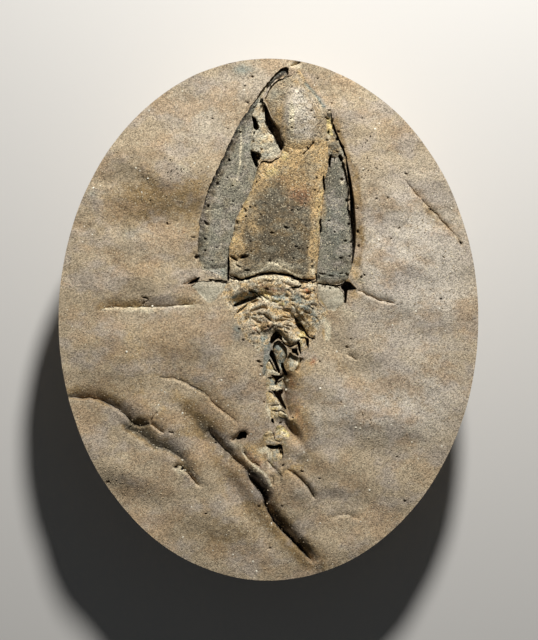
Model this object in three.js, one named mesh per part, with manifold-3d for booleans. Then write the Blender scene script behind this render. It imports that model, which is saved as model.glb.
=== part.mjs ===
// A fossil cystoid lying in an oval slab of fine sandstone, fossil side up.
//
// Units are millimetres and Z is up. The origin is at the centre of the slab's flat
// underside. +Y points to the head of the animal and -Y follows its stem.
//
// The fossil's calcite plates sit side by side in one shallow pocket of the rock, with a
// narrow open crack around each of them. Every plate has the outline that shows on the
// slab and a softly lumpy upper face.

import * as THREE from 'three';
import { mergeVertices } from 'three/addons/utils/BufferGeometryUtils.js';
import Module from 'manifold-3d';

const wasm = await Module();
wasm.setup();

// Driving dimensions, in millimetres.
const SLAB_LENGTH = 67.9;
const SLAB_WIDTH = 54.6;
const SLAB_THICKNESS = 14;
const UNDERCUT = 1.1;
const WALL_ROUGHNESS = 0.35;
const OFFCUT = 3;
const POCKET_DEPTH = 3;
const CRACK = 0.3;
const ROUNDED_EDGE = 1.4;
const CUTTER_TOP = SLAB_THICKNESS + 4;

// How finely the faces are divided.
const SLAB_CELLS_ACROSS = 36;
const SLAB_CELLS_ALONG = 44;
const WALL_LEVELS = 2;
const PLATE_CELL = 1.05;
const SMALL_PLATE_CELL = 0.7;

// Outlines and relief are traced on the photograph of the slab, in pixels with Y down.
// These two values turn a traced point into millimetres from the slab's centre.
const TRACE_CENTRE = { x: 268.5, y: 319.5 };
const TRACED_SLAB_LENGTH = 522;
const MM_PER_PIXEL = SLAB_LENGTH / TRACED_SLAB_LENGTH;

// Traced outlines of the plates.
const LEFT_SIDE_PLATE = [
  [290, 68], [284.8, 67], [280, 68.5], [275, 74], [262, 89], [250, 107], [240, 122], [231, 139],
  [223, 157], [215, 174], [207.5, 190], [203, 206], [199.5, 222], [198, 240], [197.4, 256],
  [199.5, 265], [204, 272], [213, 277], [227.4, 280.4], [228.7, 257], [229, 248], [234, 233],
  [236, 219], [243, 205], [250, 193.5], [254, 182], [257, 168], [253, 158], [250.5, 147],
  [251, 134.5], [254.5, 123], [252, 114], [259, 99], [266, 91.5], [276, 80], [288, 76],
];
const MIDDLE_PLATE = [
  [229, 275], [240, 278.5], [250, 276.4], [259, 273], [272, 271.6], [281.6, 272.4], [291, 274],
  [299, 277.5], [306, 279], [315, 277.5], [316, 272], [318, 257], [319.5, 241], [320.5, 225],
  [323, 206], [324, 187], [326, 174], [329, 162], [329, 152], [327.5, 139], [326, 126.5],
  [326, 117], [325, 108], [320, 99], [313, 90], [306, 82], [299, 70], [294, 74], [281, 78.5],
  [276, 80.5], [270, 86.5], [264.5, 98], [268, 107], [271, 115], [275, 123], [280, 130],
  [284.5, 142], [283, 149], [280, 156], [272, 160.5], [262, 160.5], [258, 167], [254, 182],
  [250, 193.5], [243, 205], [236, 219], [234, 233], [229, 248], [229, 257],
];
const RIGHT_SIDE_PLATE = [
  [330, 157], [340, 156.5], [345, 165], [348.5, 180], [349.5, 190], [348, 203], [352, 220],
  [354, 240], [355, 250], [352, 267], [347.5, 280], [338, 284], [329, 284], [318, 283],
  [317.5, 270], [320, 250], [320.5, 230], [324, 207], [324.5, 187], [327, 170],
];
const LEFT_WEDGE_PLATE = [
  [259, 99], [263, 97.5], [265, 110], [265, 120], [269, 131], [274, 136], [281, 150], [279, 156],
  [272, 160], [262, 160], [257, 166], [253, 158], [250.5, 147], [251, 134.5], [254.5, 123],
  [252, 114],
];
const RIGHT_WEDGE_PLATE = [
  [327, 109], [331, 111], [333, 122], [337, 133], [343, 147], [346, 157], [340, 156.5],
  [330, 157], [329, 151], [327.5, 139], [326, 126.5], [326, 117],
];
const LEFT_CORNER_PLATE = [
  [190, 286], [198, 281.5], [212, 280], [227, 283], [224, 288], [214, 301], [211, 304], [205, 301],
  [197, 292],
];
const RIGHT_CORNER_PLATE = [
  [317, 284.4], [339, 287], [344, 293], [344.5, 304], [335, 312], [328, 310], [319.5, 302],
];
const STEM_ROOT = [
  [229, 283], [238, 281.5], [250, 278.5], [260, 275.7], [272, 274], [282, 274.8], [291, 277],
  [300, 281.5], [307, 283], [316, 281.5], [317, 293], [319, 303], [328, 311], [324, 322],
  [317, 333], [309, 345], [300, 354], [293, 351], [284, 343.5], [277, 333], [272, 336],
  [265, 352], [256, 350], [246, 338], [238, 322], [226, 306], [221, 297], [225, 289],
];
const LEFT_STEM_CONE = [
  [279, 338], [287, 348], [288, 355], [284.5, 362], [280, 371], [276, 362], [272.5, 351],
];
const RIGHT_STEM_CONE = [
  [288.5, 356], [293, 353], [300.5, 357.5], [298, 364], [294.5, 371], [290, 371.5], [286, 363],
];
const STEM_OSSICLES = [
  [[265, 362], [270, 359], [277, 371], [280, 375.5], [267, 376.5]],
  [[266.5, 378], [272, 378.5], [275.5, 385], [283, 378], [284, 386], [282, 390], [267, 390.5]],
  [[266.5, 392], [273, 392.5], [280, 400], [279, 402.5], [267, 402]],
  [[268, 404], [281, 404], [284.5, 409.5], [270, 409.5]],
  [[271, 411], [285, 411], [289, 419.5], [276, 421], [271, 417.5]],
  [[276, 425], [285, 423.5], [290, 430], [289, 437.5], [282, 440.5], [276, 438]],
  [[259.5, 431], [268, 428.5], [274.5, 433], [275, 440], [284, 442], [282, 446], [267, 446]],
  [[271, 449], [282, 449], [281.5, 460], [272, 460]],
];

// Traced outlines of the open gaps beside the plates, where the rock has come away.
const OPEN_GAPS = [
  [[263, 96], [268, 105], [275, 121], [281, 129], [286, 142], [283, 151], [279, 149], [264, 121]],
  [[346, 160], [352, 180], [355, 205], [357.5, 232], [356.5, 252], [352.5, 268], [349, 250]],
  [[345, 278], [349, 279.5], [358, 289.5], [348.5, 291], [348.5, 305], [343, 304.5], [342, 289]],
  [[187, 284], [199, 276.5], [207, 279], [193, 288]],
];

// Broad swells and hollows of the rock face: place, half widths along and across,
// turn from +X in degrees, height in millimetres.
const ROCK_SWELLS = [
  { at: [160, 227], half: [55, 26], turn: 0, height: -0.5 },
  { at: [186, 160], half: [48, 28], turn: -35, height: 0.35 },
  { at: [405, 165], half: [70, 42], turn: -12, height: 0.45 },
  { at: [430, 288], half: [55, 28], turn: 0, height: 0.3 },
  { at: [352, 360], half: [34, 13], turn: -35, height: -0.35 },
  { at: [345, 412], half: [55, 26], turn: 10, height: 0.3 },
  { at: [145, 345], half: [60, 30], turn: 0, height: 0.3 },
  { at: [205, 165], half: [62, 13], turn: 62, height: 0.3 },
  { at: [364, 215], half: [70, 12], turn: -84, height: 0.3 },
  { at: [298, 486], half: [15, 14], turn: -40, height: 0.35 },
  { at: [275, 398], half: [52, 19], turn: 86, height: -0.95 },
  { at: [276, 470], half: [22, 12], turn: 80, height: -0.4 },
  { at: [130, 495], half: [42, 30], turn: 20, height: 0.35 },
  { at: [390, 500], half: [60, 40], turn: 0, height: 0.3 },
  { at: [205, 520], half: [40, 26], turn: -30, height: -0.3 },
];

// Ledges and cracks of the rock face. Each falls to its line over the reach named "left"
// of the line's direction and climbs again over the reach named "right".
const ROCK_LEDGES = [
  {
    line: [[68, 397], [97, 399], [119, 409], [131, 422], [141, 427], [150, 424], [160, 430]],
    depth: 0.75, left: 20, right: 9,
  },
  {
    line: [[127, 427], [150, 443], [168, 449], [186, 461], [192, 478], [200, 488]],
    depth: 0.6, left: 13, right: 9,
  },
  {
    line: [[160, 377], [180, 379.5], [200, 390], [220, 409], [237, 421], [244, 433]],
    depth: 0.7, left: 22, right: 9,
  },
  {
    line: [[220, 448], [245, 468], [260, 490], [278, 522], [298, 541], [310, 558]],
    depth: 1.2, left: 17, right: 11,
  },
  {
    line: [[103, 309], [128, 306.5], [160, 307], [183, 305.5], [194, 305]],
    depth: 0.5, left: 14, right: 9,
  },
  {
    line: [[330, 517], [346, 514.5], [360, 520]],
    depth: 0.3, left: 12, right: 9,
  },
  {
    line: [[357, 289], [368, 296], [395, 304], [412, 308]],
    depth: 0.45, left: 14, right: 9,
  },
  {
    line: [[466, 250], [455, 234], [435, 213], [412, 192], [380, 192]],
    depth: 0.45, left: 9, right: 14,
  },
  {
    line: [[286, 468], [302, 479], [312, 494], [317, 500]],
    depth: 0.35, left: 9, right: 9,
  },
];

// Lumps, hollows and wrinkles of the plates, written like those of the rock.
const MIDDLE_PLATE_SWELLS = [
  { at: [297, 112], half: [26, 42], turn: 0, height: 1.75 },
  { at: [286, 172], half: [34, 14], turn: 0, height: 0.25 },
  { at: [281, 230], half: [30, 36], turn: 0, height: 0.2 },
  { at: [240, 260], half: [8, 5], turn: 0, height: -0.4 },
];
const LEFT_SIDE_PLATE_SWELLS = [
  { at: [272, 84], half: [30, 14], turn: 48, height: -1.2 },
  { at: [236, 175], half: [40, 9], turn: 68, height: 0.25 },
];
const STEM_ROOT_SWELLS = [
  { at: [242, 300], half: [15, 6], turn: 17, height: -1.3 },
  { at: [299, 324], half: [10, 6], turn: -55, height: -1.4 },
  { at: [275, 292], half: [30, 9], turn: -4, height: 0.3 },
  { at: [262, 318], half: [14, 8], turn: 30, height: 0.3 },
  { at: [285, 325], half: [12, 8], turn: 20, height: 0.25 },
  { at: [310, 302], half: [9, 12], turn: 0, height: 0.3 },
];

// Each plate: its node name, outline, height of its rim above the mean rock face, how
// much its middle stands above its rim, its lumps and its colour.
const PLATES = [
  {
    name: 'left_side_plate', outline: LEFT_SIDE_PLATE, rim: -0.8, crown: 0.55,
    swells: LEFT_SIDE_PLATE_SWELLS, cell: PLATE_CELL, color: 0x857d6b,
  },
  {
    name: 'right_side_plate', outline: RIGHT_SIDE_PLATE, rim: -0.7, crown: 0.5,
    swells: [], cell: PLATE_CELL, color: 0x7d7968,
  },
  {
    name: 'middle_plate', outline: MIDDLE_PLATE, rim: -0.55, crown: 0.4,
    swells: MIDDLE_PLATE_SWELLS, cell: PLATE_CELL, color: 0x8f7c5d,
  },
  {
    name: 'left_wedge_plate', outline: LEFT_WEDGE_PLATE, rim: -0.6, crown: 0.35,
    swells: [], cell: PLATE_CELL, color: 0xb0a68b,
  },
  {
    name: 'right_wedge_plate', outline: RIGHT_WEDGE_PLATE, rim: -0.55, crown: 0.3,
    swells: [], cell: PLATE_CELL, color: 0xa59c80,
  },
  {
    name: 'left_corner_plate', outline: LEFT_CORNER_PLATE, rim: -0.5, crown: 0.35,
    swells: [], cell: PLATE_CELL, color: 0xb4ad97,
  },
  {
    name: 'right_corner_plate', outline: RIGHT_CORNER_PLATE, rim: -0.45, crown: 0.35,
    swells: [], cell: PLATE_CELL, color: 0xaba48f,
  },
  {
    name: 'stem_root', outline: STEM_ROOT, rim: -0.5, crown: 0.4,
    swells: STEM_ROOT_SWELLS, cell: PLATE_CELL, color: 0x9c8c6f,
  },
  {
    name: 'left_stem_cone', outline: LEFT_STEM_CONE, rim: -1.2, crown: 0.6,
    swells: [], cell: SMALL_PLATE_CELL, color: 0x8c8778,
  },
  {
    name: 'right_stem_cone', outline: RIGHT_STEM_CONE, rim: -1.1, crown: 0.6,
    swells: [], cell: SMALL_PLATE_CELL, color: 0xb8ac92,
  },
];
STEM_OSSICLES.forEach((outline, index) => {
  PLATES.push({
    name: `stem_ossicle_${index + 1}`, outline, rim: -1.15, crown: 0.45,
    swells: [], cell: SMALL_PLATE_CELL, color: 0xa89c84,
  });
});

const ROCK_COLOR = 0xa2937d;

// A traced point in millimetres from the slab's centre.
function place([x, y]) {
  return new THREE.Vector2((x - TRACE_CENTRE.x) * MM_PER_PIXEL, (TRACE_CENTRE.y - y) * MM_PER_PIXEL);
}

// A traced outline in millimetres, running counter-clockwise.
function placeOutline(traced) {
  const points = traced.map(place);
  if (THREE.ShapeUtils.isClockWise(points)) {
    points.reverse();
  }
  return points;
}

// The same outline moved outward by a distance, or inward if it is negative.
function growOutline(points, distance) {
  const sharpestCorner = 0.6;
  const count = points.length;
  return points.map((point, index) => {
    const arriving = point.clone().sub(points[(index + count - 1) % count]).normalize();
    const leaving = points[(index + 1) % count].clone().sub(point).normalize();
    const along = arriving.clone().add(leaving).normalize();
    const outward = new THREE.Vector2(along.y, -along.x);
    const sideways = Math.max(sharpestCorner, along.dot(arriving));
    return point.clone().addScaledVector(outward, distance / sideways);
  });
}

// Nearest point of an open line or closed outline: how far it is, on which side of the
// line the place lies, and how far along the line it is, from 0 to 1.
function nearestOnLine(position, points, closed) {
  const nearest = { distance: Infinity, side: 1, along: 0 };
  const segments = closed ? points.length : points.length - 1;
  for (let index = 0; index < segments; index += 1) {
    const start = points[index];
    const span = points[(index + 1) % points.length].clone().sub(start);
    const reach = position.clone().sub(start);
    const share = THREE.MathUtils.clamp(reach.dot(span) / span.lengthSq(), 0, 1);
    const distance = reach.distanceTo(span.clone().multiplyScalar(share));
    if (distance < nearest.distance) {
      nearest.distance = distance;
      nearest.side = Math.sign(span.cross(reach)) || 1;
      nearest.along = (index + share) / segments;
    }
  }
  return nearest;
}

// Height that one swell adds at a place.
function swellHeight(position, { at, half, turn, height }) {
  const offset = position.clone().sub(place(at));
  offset.rotateAround(new THREE.Vector2(), -THREE.MathUtils.degToRad(turn));
  const along = offset.x / (half[0] * MM_PER_PIXEL);
  const across = offset.y / (half[1] * MM_PER_PIXEL);
  return height * Math.exp(-(along * along + across * across));
}

// Depth that one ledge takes at a place. It fades out towards both of its ends.
function ledgeDepth(position, { line, depth, left, right }) {
  const fadeShare = 0.15;
  const { distance, side, along } = nearestOnLine(position, line, false);
  const reach = (side > 0 ? left : right) * MM_PER_PIXEL;
  const closeness = Math.max(0, 1 - distance / reach);
  const fade = Math.min(1, along / fadeShare, (1 - along) / fadeShare);
  return depth * closeness * closeness * (3 - 2 * closeness) * fade;
}

const ledgesInPlace = ROCK_LEDGES.map((ledge) => ({ ...ledge, line: ledge.line.map(place) }));

// Height of the rock face above its mean level.
function rockRelief(position) {
  let height = 0;
  for (const swell of ROCK_SWELLS) {
    height += swellHeight(position, swell);
  }
  for (const ledge of ledgesInPlace) {
    height -= ledgeDepth(position, ledge);
  }
  return height;
}

// Height of a plate's upper face above the rock's mean level.
function plateRelief(position, plate, outline) {
  const { distance } = nearestOnLine(position, outline, true);
  const inwards = Math.min(1, distance / ROUNDED_EDGE);
  let height = plate.rim + plate.crown * inwards * (2 - inwards);
  for (const swell of plate.swells) {
    height += swellHeight(position, swell);
  }
  return height;
}

// A closed three.js geometry as a solid that can be joined and cut.
function toSolid(geometry) {
  geometry.deleteAttribute('normal');
  geometry.deleteAttribute('uv');
  const merged = mergeVertices(geometry, 1e-5);
  return new wasm.Manifold(new wasm.Mesh({
    numProp: 3,
    vertProperties: Float32Array.from(merged.attributes.position.array),
    triVerts: Uint32Array.from(merged.index.array),
  }));
}

// A solid as a named three.js mesh.
function toMesh(solid, name, color) {
  const { numProp, vertProperties, triVerts } = solid.getMesh();
  const geometry = new THREE.BufferGeometry();
  const positions = new THREE.InterleavedBuffer(vertProperties, numProp);
  geometry.setAttribute('position', new THREE.InterleavedBufferAttribute(positions, 3, 0));
  geometry.setIndex(new THREE.BufferAttribute(triVerts, 1));
  const material = new THREE.MeshStandardMaterial({ color, roughness: 0.92, metalness: 0 });
  material.flatShading = true;
  const mesh = new THREE.Mesh(geometry, material);
  mesh.name = name;
  return mesh;
}

// A straight-sided block over an outline, from one height to another.
function prism(outline, bottom, top) {
  const geometry = new THREE.ExtrudeGeometry(new THREE.Shape(outline), {
    depth: top - bottom,
    bevelEnabled: false,
  });
  geometry.translate(0, 0, bottom);
  return toSolid(geometry);
}

// How far the slab's wall stands in from its oval edge, for a share of the full height.
function wallInset(angle, share) {
  const lobes = Math.sin(3 * angle + 1) + Math.sin(7 * angle + 9 * share) / 2;
  const nicks = Math.sin(17 * angle - 4 * share) / 3;
  return (UNDERCUT + WALL_ROUGHNESS * (lobes + nicks)) * Math.sqrt(1 - share);
}

// The oval slab, before the pocket is cut: a block whose square plan is drawn out to an
// oval, with the relief on its upper face. It starts a little too deep and is then cut
// off flat at its underside.
function makeSlab() {
  const geometry = new THREE.BoxGeometry(2, 2, 1, SLAB_CELLS_ACROSS, SLAB_CELLS_ALONG, WALL_LEVELS);
  const vertices = geometry.attributes.position;
  for (let index = 0; index < vertices.count; index += 1) {
    const u = vertices.getX(index);
    const v = vertices.getY(index);
    const share = vertices.getZ(index) + 0.5;
    const x = u * Math.sqrt(1 - v * v / 2);
    const y = v * Math.sqrt(1 - u * u / 2);
    const inset = wallInset(Math.atan2(y, x), share);
    const position = new THREE.Vector2(x * (SLAB_WIDTH / 2 - inset), y * (SLAB_LENGTH / 2 - inset));
    const relief = share === 1 ? rockRelief(position) : 0;
    const height = THREE.MathUtils.lerp(-OFFCUT, SLAB_THICKNESS, share) + relief;
    vertices.setXYZ(index, position.x, position.y, height);
  }
  const keptHeight = 2 * SLAB_THICKNESS;
  const kept = new THREE.BoxGeometry(2 * SLAB_WIDTH, 2 * SLAB_LENGTH, keptHeight);
  kept.translate(0, 0, keptHeight / 2);
  return toSolid(geometry).intersect(toSolid(kept));
}

// A block over a plate's outline whose upper face carries the plate's relief.
function makeReliefBlock(plate, outline) {
  const box = new THREE.Box2().setFromPoints(outline).expandByScalar(plate.cell);
  const size = box.getSize(new THREE.Vector2());
  const centre = box.getCenter(new THREE.Vector2());
  const bottom = SLAB_THICKNESS - POCKET_DEPTH + CRACK;
  const cellsAcross = Math.ceil(size.x / plate.cell);
  const cellsAlong = Math.ceil(size.y / plate.cell);
  const geometry = new THREE.BoxGeometry(size.x, size.y, 1, cellsAcross, cellsAlong, 1);
  const vertices = geometry.attributes.position;
  for (let index = 0; index < vertices.count; index += 1) {
    const position = new THREE.Vector2(vertices.getX(index), vertices.getY(index)).add(centre);
    const isUpper = vertices.getZ(index) > 0;
    const height = isUpper ? SLAB_THICKNESS + plateRelief(position, plate, outline) : bottom;
    vertices.setXYZ(index, position.x, position.y, height);
  }
  return toSolid(geometry);
}

const fossil = new THREE.Group();
const pocketFloor = SLAB_THICKNESS - POCKET_DEPTH;
let matrix = makeSlab();
let taken = null;

// The plates, in order. Each keeps clear of those before it and leaves its own bed,
// wider by half a crack, in the rock.
for (const plate of PLATES) {
  const outline = placeOutline(plate.outline);
  const bed = prism(growOutline(outline, CRACK / 2), pocketFloor, CUTTER_TOP);
  let solid = makeReliefBlock(plate, outline);
  solid = solid.intersect(prism(growOutline(outline, -CRACK / 2), 0, CUTTER_TOP));
  if (taken) {
    solid = solid.subtract(taken);
  }
  taken = taken ? taken.add(bed) : bed;
  fossil.add(toMesh(solid, plate.name, plate.color));
}
for (const gap of OPEN_GAPS) {
  taken = taken.add(prism(placeOutline(gap), pocketFloor, CUTTER_TOP));
}
matrix = matrix.subtract(taken);
fossil.add(toMesh(matrix, 'matrix', ROCK_COLOR));

export default fossil;
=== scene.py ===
"""The looks of a fossil cystoid in its oval slab of sandstone.

Run as a script in Blender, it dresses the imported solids. Each plate of the fossil and
the rock around it gets a fine mesh with its relief, pits and cracks, and a stone
material. Lengths inside the script are millimetres, and meshes are stored in metres.
"""

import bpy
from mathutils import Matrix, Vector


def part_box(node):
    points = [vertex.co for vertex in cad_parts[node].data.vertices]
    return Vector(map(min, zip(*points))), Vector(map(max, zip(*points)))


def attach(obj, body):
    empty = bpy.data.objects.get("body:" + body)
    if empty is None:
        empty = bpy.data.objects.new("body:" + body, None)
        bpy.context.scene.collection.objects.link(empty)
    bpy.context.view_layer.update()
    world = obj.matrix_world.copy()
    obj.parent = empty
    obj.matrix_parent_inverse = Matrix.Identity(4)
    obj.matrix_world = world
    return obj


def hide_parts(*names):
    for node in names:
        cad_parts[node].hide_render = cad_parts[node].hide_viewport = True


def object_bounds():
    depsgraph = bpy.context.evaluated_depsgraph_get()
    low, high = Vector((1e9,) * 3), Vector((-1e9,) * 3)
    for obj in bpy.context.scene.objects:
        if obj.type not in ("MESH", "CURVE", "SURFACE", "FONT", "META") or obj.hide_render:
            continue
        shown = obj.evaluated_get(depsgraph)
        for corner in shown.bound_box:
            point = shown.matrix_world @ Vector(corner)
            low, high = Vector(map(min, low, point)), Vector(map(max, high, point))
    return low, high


bl_info = {
    "name": "Fossil Cystoid Slab",
    "version": (1, 0, 0),
    "blender": (4, 5, 0),
    "location": "View3D > Sidebar > Fossil",
    "description": "Makes a fossil cystoid in its slab of sandstone, piece by piece",
    "category": "Add Mesh",
}

import math
from functools import partial

import bmesh
import bpy
import numpy as np
from mathutils import Vector
from mathutils.geometry import delaunay_2d_cdt

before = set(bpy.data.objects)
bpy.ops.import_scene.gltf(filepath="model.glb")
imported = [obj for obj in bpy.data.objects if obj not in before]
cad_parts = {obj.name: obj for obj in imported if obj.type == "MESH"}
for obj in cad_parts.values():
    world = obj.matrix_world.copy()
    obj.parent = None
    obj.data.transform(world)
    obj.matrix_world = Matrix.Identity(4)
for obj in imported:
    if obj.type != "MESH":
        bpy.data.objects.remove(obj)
CAD_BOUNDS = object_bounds()

# Units and the frame's own sizes. Heights, the step between mesh points along a line and the
# cells in which mesh points are thinned out are millimetres.
MM = 0.001
SLAB_LOW, SLAB_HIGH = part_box("matrix")
SLAB_HALF = np.array([SLAB_HIGH.x - SLAB_LOW.x, SLAB_HIGH.y - SLAB_LOW.y]) / (2 * MM)
CAD_TOP = max(corner[2] for corner in CAD_BOUNDS) / MM
FACE_LEVEL = 14.0
POCKET_FLOOR = 11.0
PLATE_FLOOR = 11.3
GAP_FLOOR = PLATE_FLOOR + 0.2
CLEARANCE = 0.01
LINE_STEP = 0.13
FINE_CELL = 0.05
WALL_CELL = 0.03
GRAINS_PER_SQUARE_METRE = 1.6e6
FLECKS_PER_SQUARE_METRE = 6.0e4

# Outlines and relief are traced on the photograph, in pixels of its 538 x 640 frame.
TRACE_CENTRE = np.array([268.5, 319.5])
TRACED_SLAB_LENGTH = 522
MM_PER_PIXEL = 2 * SLAB_HALF[1] / TRACED_SLAB_LENGTH

# Traced outlines of the plates.
LEFT_SIDE_PLATE = [
    (290, 68), (284.8, 67), (280, 68.5), (275, 74), (262, 89), (250, 107), (240, 122),
    (231, 139), (223, 157), (215, 174), (207.5, 190), (203, 206), (199.5, 222), (198, 240),
    (197.4, 256), (199.5, 265), (204, 272), (213, 277), (227.4, 280.4), (228.7, 257),
    (231, 248), (236, 233), (238, 219), (245, 205), (252, 193.5), (256, 182), (259, 168),
    (255, 158), (252.5, 147), (253, 134.5), (256.5, 123), (254, 114), (260, 99),
    (266, 91.5), (276, 80), (288, 76),
]
MIDDLE_PLATE = [
    (229, 275), (236, 276.7), (240, 278.8), (250, 276.8), (259, 273.4), (272, 272),
    (282, 273), (291, 274.8), (300, 278.6), (306, 280), (317, 278.8), (317, 272),
    (318, 257), (319.5, 241), (320.5, 225), (323, 206), (324, 187), (326, 174), (329, 162),
    (329, 152), (327.5, 139), (326, 126.5), (326, 117), (325, 108), (320, 99), (313, 90),
    (306, 82), (299, 70), (294, 74), (281, 78.5), (276, 80.5), (270, 86.5), (264.5, 98),
    (268, 107), (271, 115), (275, 123), (280, 130), (284.5, 142), (283, 149), (280, 156),
    (272, 160.5), (262, 160.5), (258, 167), (254, 182), (250, 193.5), (243, 205),
    (236, 219), (234, 233), (229, 248), (229, 257),
]
RIGHT_SIDE_PLATE = [
    (330, 157), (340, 156.5), (345, 165), (348.5, 180), (349.5, 190), (348, 203), (352, 220),
    (354, 240), (355, 250), (352, 267), (347.5, 280), (338, 284), (329, 284), (316.5, 283),
    (315.5, 270), (318, 250), (318.5, 230), (322, 207), (322.5, 187), (325, 170),
]
LEFT_WEDGE_PLATE = [
    (259, 99), (263, 97.5), (265, 110), (265, 120), (269, 131), (274, 136), (281, 150),
    (279, 156), (272, 160), (262, 160), (257, 166), (253, 158), (250.5, 147), (251, 134.5),
    (254.5, 123), (252, 114),
]
RIGHT_WEDGE_PLATE = [
    (325.5, 109), (331, 111), (333, 122), (337, 133), (343, 147), (346, 157), (340, 156.5),
    (328, 157), (327, 151), (325.5, 139), (324, 126.5), (324, 117),
]
LEFT_CORNER_PLATE = [
    (190, 286), (198, 281), (212, 280.5), (229, 282.5), (226, 288), (214, 301), (211, 304),
    (205, 301), (197, 292),
]
RIGHT_CORNER_PLATE = [
    (317, 284.4), (339, 287), (344, 293), (344.5, 304), (335, 312), (328, 310),
    (319.5, 302),
]
STEM_ROOT = [
    (228.5, 277.5), (236, 278.8), (240, 281), (250, 279), (260, 275.6), (272, 274.2),
    (282, 275), (291, 277), (300, 281), (307, 282.4), (317, 280.6), (317, 293), (319, 303), (328, 311),
    (324, 322), (317, 333), (309, 345), (300, 354), (293, 351), (284, 343.5), (277, 333),
    (272, 336), (265, 352), (256, 350), (246, 338), (238, 322), (226, 306), (221, 297),
    (225, 289),
]
LEFT_STEM_CONE = [
    (279, 339.5), (283, 344), (287.5, 349), (288, 356), (284.5, 363), (281, 371), (278, 364),
    (275.5, 357), (273, 350.5), (272.3, 345), (275, 341.5),
]
RIGHT_STEM_CONE = [
    (290, 350), (292, 354), (296, 355.5), (298, 358), (301.5, 357), (301, 362), (298, 367),
    (295, 371.5), (289, 371), (286, 365), (287.5, 356),
]
STEM_OSSICLES = [
    [(269.5, 358), (272, 361), (274, 366), (277, 371), (281, 373.3), (283, 374),
     (280, 376), (273, 376), (265.5, 374.5), (266, 367)],
    [(266, 377.5), (271, 376.5), (274.5, 378.5), (276, 386), (278, 381), (282, 379),
     (283, 384), (282.5, 390.5), (276, 392), (267, 389.5)],
    [(266, 391), (272.5, 391), (275, 396), (279, 402), (279, 404.5), (267.5, 404)],
    [(268, 404), (280.5, 404), (283, 408), (280, 410.5), (269.5, 410)],
    [(271, 410.5), (281, 409), (285, 412.5), (288.5, 417.5), (284, 418.5), (279, 415.5),
     (275, 419), (271.5, 418)],
    [(276, 427), (281, 425), (285, 428), (290, 434.5), (289, 438.5), (283, 441),
     (275, 440), (274.5, 433)],
    [(262, 438), (264, 433.5), (269, 430.5), (274.5, 433), (275.5, 440), (284, 441),
     (287, 443.5), (283, 447), (266, 446), (264, 442)],
    [(271, 449.5), (280, 448.5), (282, 452), (281.5, 460), (275, 462), (270, 459.5)],
]
ALL_PLATES = [
    LEFT_SIDE_PLATE, MIDDLE_PLATE, RIGHT_SIDE_PLATE, LEFT_WEDGE_PLATE, RIGHT_WEDGE_PLATE,
    LEFT_CORNER_PLATE, RIGHT_CORNER_PLATE, STEM_ROOT, LEFT_STEM_CONE, RIGHT_STEM_CONE,
    *STEM_OSSICLES,
]

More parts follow.
